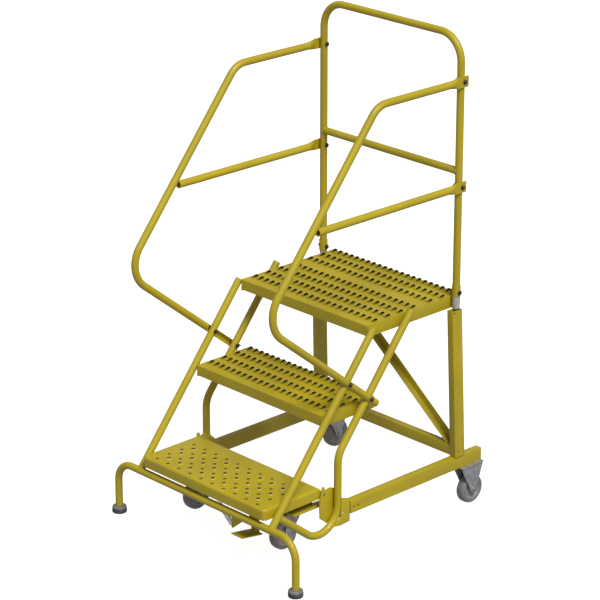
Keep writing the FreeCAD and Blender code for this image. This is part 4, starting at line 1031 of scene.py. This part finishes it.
class LADDER_OT_welds(bpy.types.Operator):
    """Lay the weld beads where the guard's mid rail meets the guard rail's legs"""
    bl_idname = "ladder.welds"
    bl_label = "Welds"

    def execute(self, context):
        sizes = context.scene.ladder.tubes
        tree = bead_tree()
        r = sizes.tube_radius
        low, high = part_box("guard_mid_rail")
        y = (low.y + high.y) / 2.0
        z = (low.z + high.z) / 2.0
        leg_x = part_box("guard_stubs")[1].x - r
        loops = [tube_seam(side, r, leg_x, y, z) for side in (1.0, -1.0)]
        bead("guard_welds", loops, tree, sizes)
        return {"FINISHED"}


class LADDER_OT_stage(bpy.types.Operator):
    """Set up the floor, the light and the camera"""
    bl_idname = "ladder.stage"
    bl_label = "Stage"

    def execute(self, context):
        studio = context.scene.ladder.studio
        scene = context.scene
        bm = bmesh.new()
        bmesh.ops.create_grid(bm, x_segments=1, y_segments=1, size=60.0)
        floor = mesh_object("studio_floor", bm)
        material = bpy.data.materials.new("pale_floor")
        material.use_nodes = True
        shader = material.node_tree.nodes["Principled BSDF"]
        shader.inputs["Base Color"].default_value = (0.30, 0.30, 0.30, 1.0)
        shader.inputs["Roughness"].default_value = 0.9
        shader.inputs["Emission Color"].default_value = (1.0, 1.0, 1.0, 1.0)
        shader.inputs["Emission Strength"].default_value = studio.floor
        floor.data.materials.append(material)
        floor.visible_diffuse = False
        floor.visible_glossy = False

        world = bpy.data.worlds.new("studio")
        world.use_nodes = True
        world.node_tree.nodes["Background"].inputs["Color"].default_value = (1.0, 1.0, 1.0, 1.0)
        world.node_tree.nodes["Background"].inputs["Strength"].default_value = studio.sky
        scene.world = world
        light = bpy.data.lights.new("key", "SUN")
        light.energy = studio.key
        light.angle = math.radians(25.0)
        lamp = bpy.data.objects.new("key", light)
        lamp.rotation_euler = Vector((-0.55, 0.15, -0.80)).to_track_quat("-Z", "Y").to_euler()
        scene.collection.objects.link(lamp)

        back = Vector((0.6765, -0.6454, 0.3548)).normalized()
        right = Vector((0.6903, 0.7235, 0.0)).normalized()
        up = back.cross(right)
        data = bpy.data.cameras.new("camera")
        data.lens = studio.lens
        data.sensor_width = 36.0
        data.clip_end = 200.0
        camera = bpy.data.objects.new("camera", data)
        camera.matrix_world = Matrix.Translation((5.876, -5.646, 3.854)) @ Matrix(
            (right, up, back)).transposed().to_4x4()
        scene.collection.objects.link(camera)
        scene.camera = camera
        scene.view_settings.view_transform = "Standard"
        return {"FINISHED"}


class LADDER_PT_panel(bpy.types.Panel):
    """Sidebar panel with the settings and the steps"""
    bl_idname = "LADDER_PT_panel"
    bl_label = "Ladder stand"
    bl_space_type = "VIEW_3D"
    bl_region_type = "UI"
    bl_category = "Ladder stand"

    def draw(self, context):
        settings = context.scene.ladder
        for group in (settings.colours, settings.treads, settings.tubes, settings.studio):
            box = self.layout.box()
            for prop in group.__annotations__:
                box.prop(group, prop)
        for operator in STEPS:
            self.layout.operator(operator.bl_idname)


STEPS = (LADDER_OT_finishes, LADDER_OT_planks, LADDER_OT_bottom_tread, LADDER_OT_plates,
         LADDER_OT_casters, LADDER_OT_feet, LADDER_OT_fasteners, LADDER_OT_welds, LADDER_OT_stage)
GROUPS = (LadderColours, TreadSizes, FrameSizes, StudioSettings, LadderSettings)


def register():
    for item in GROUPS + STEPS + (LADDER_PT_panel,):
        bpy.utils.register_class(item)
    bpy.types.Scene.ladder = bpy.props.PointerProperty(type=LadderSettings)


def unregister():
    del bpy.types.Scene.ladder
    for item in reversed(GROUPS + STEPS + (LADDER_PT_panel,)):
        bpy.utils.unregister_class(item)


def main():
    register()
    for name in ("finishes", "planks", "bottom_tread", "plates", "casters", "feet", "fasteners",
                 "welds", "stage"):
        getattr(bpy.ops.ladder, name)()


if __name__ == "__main__":
    main()
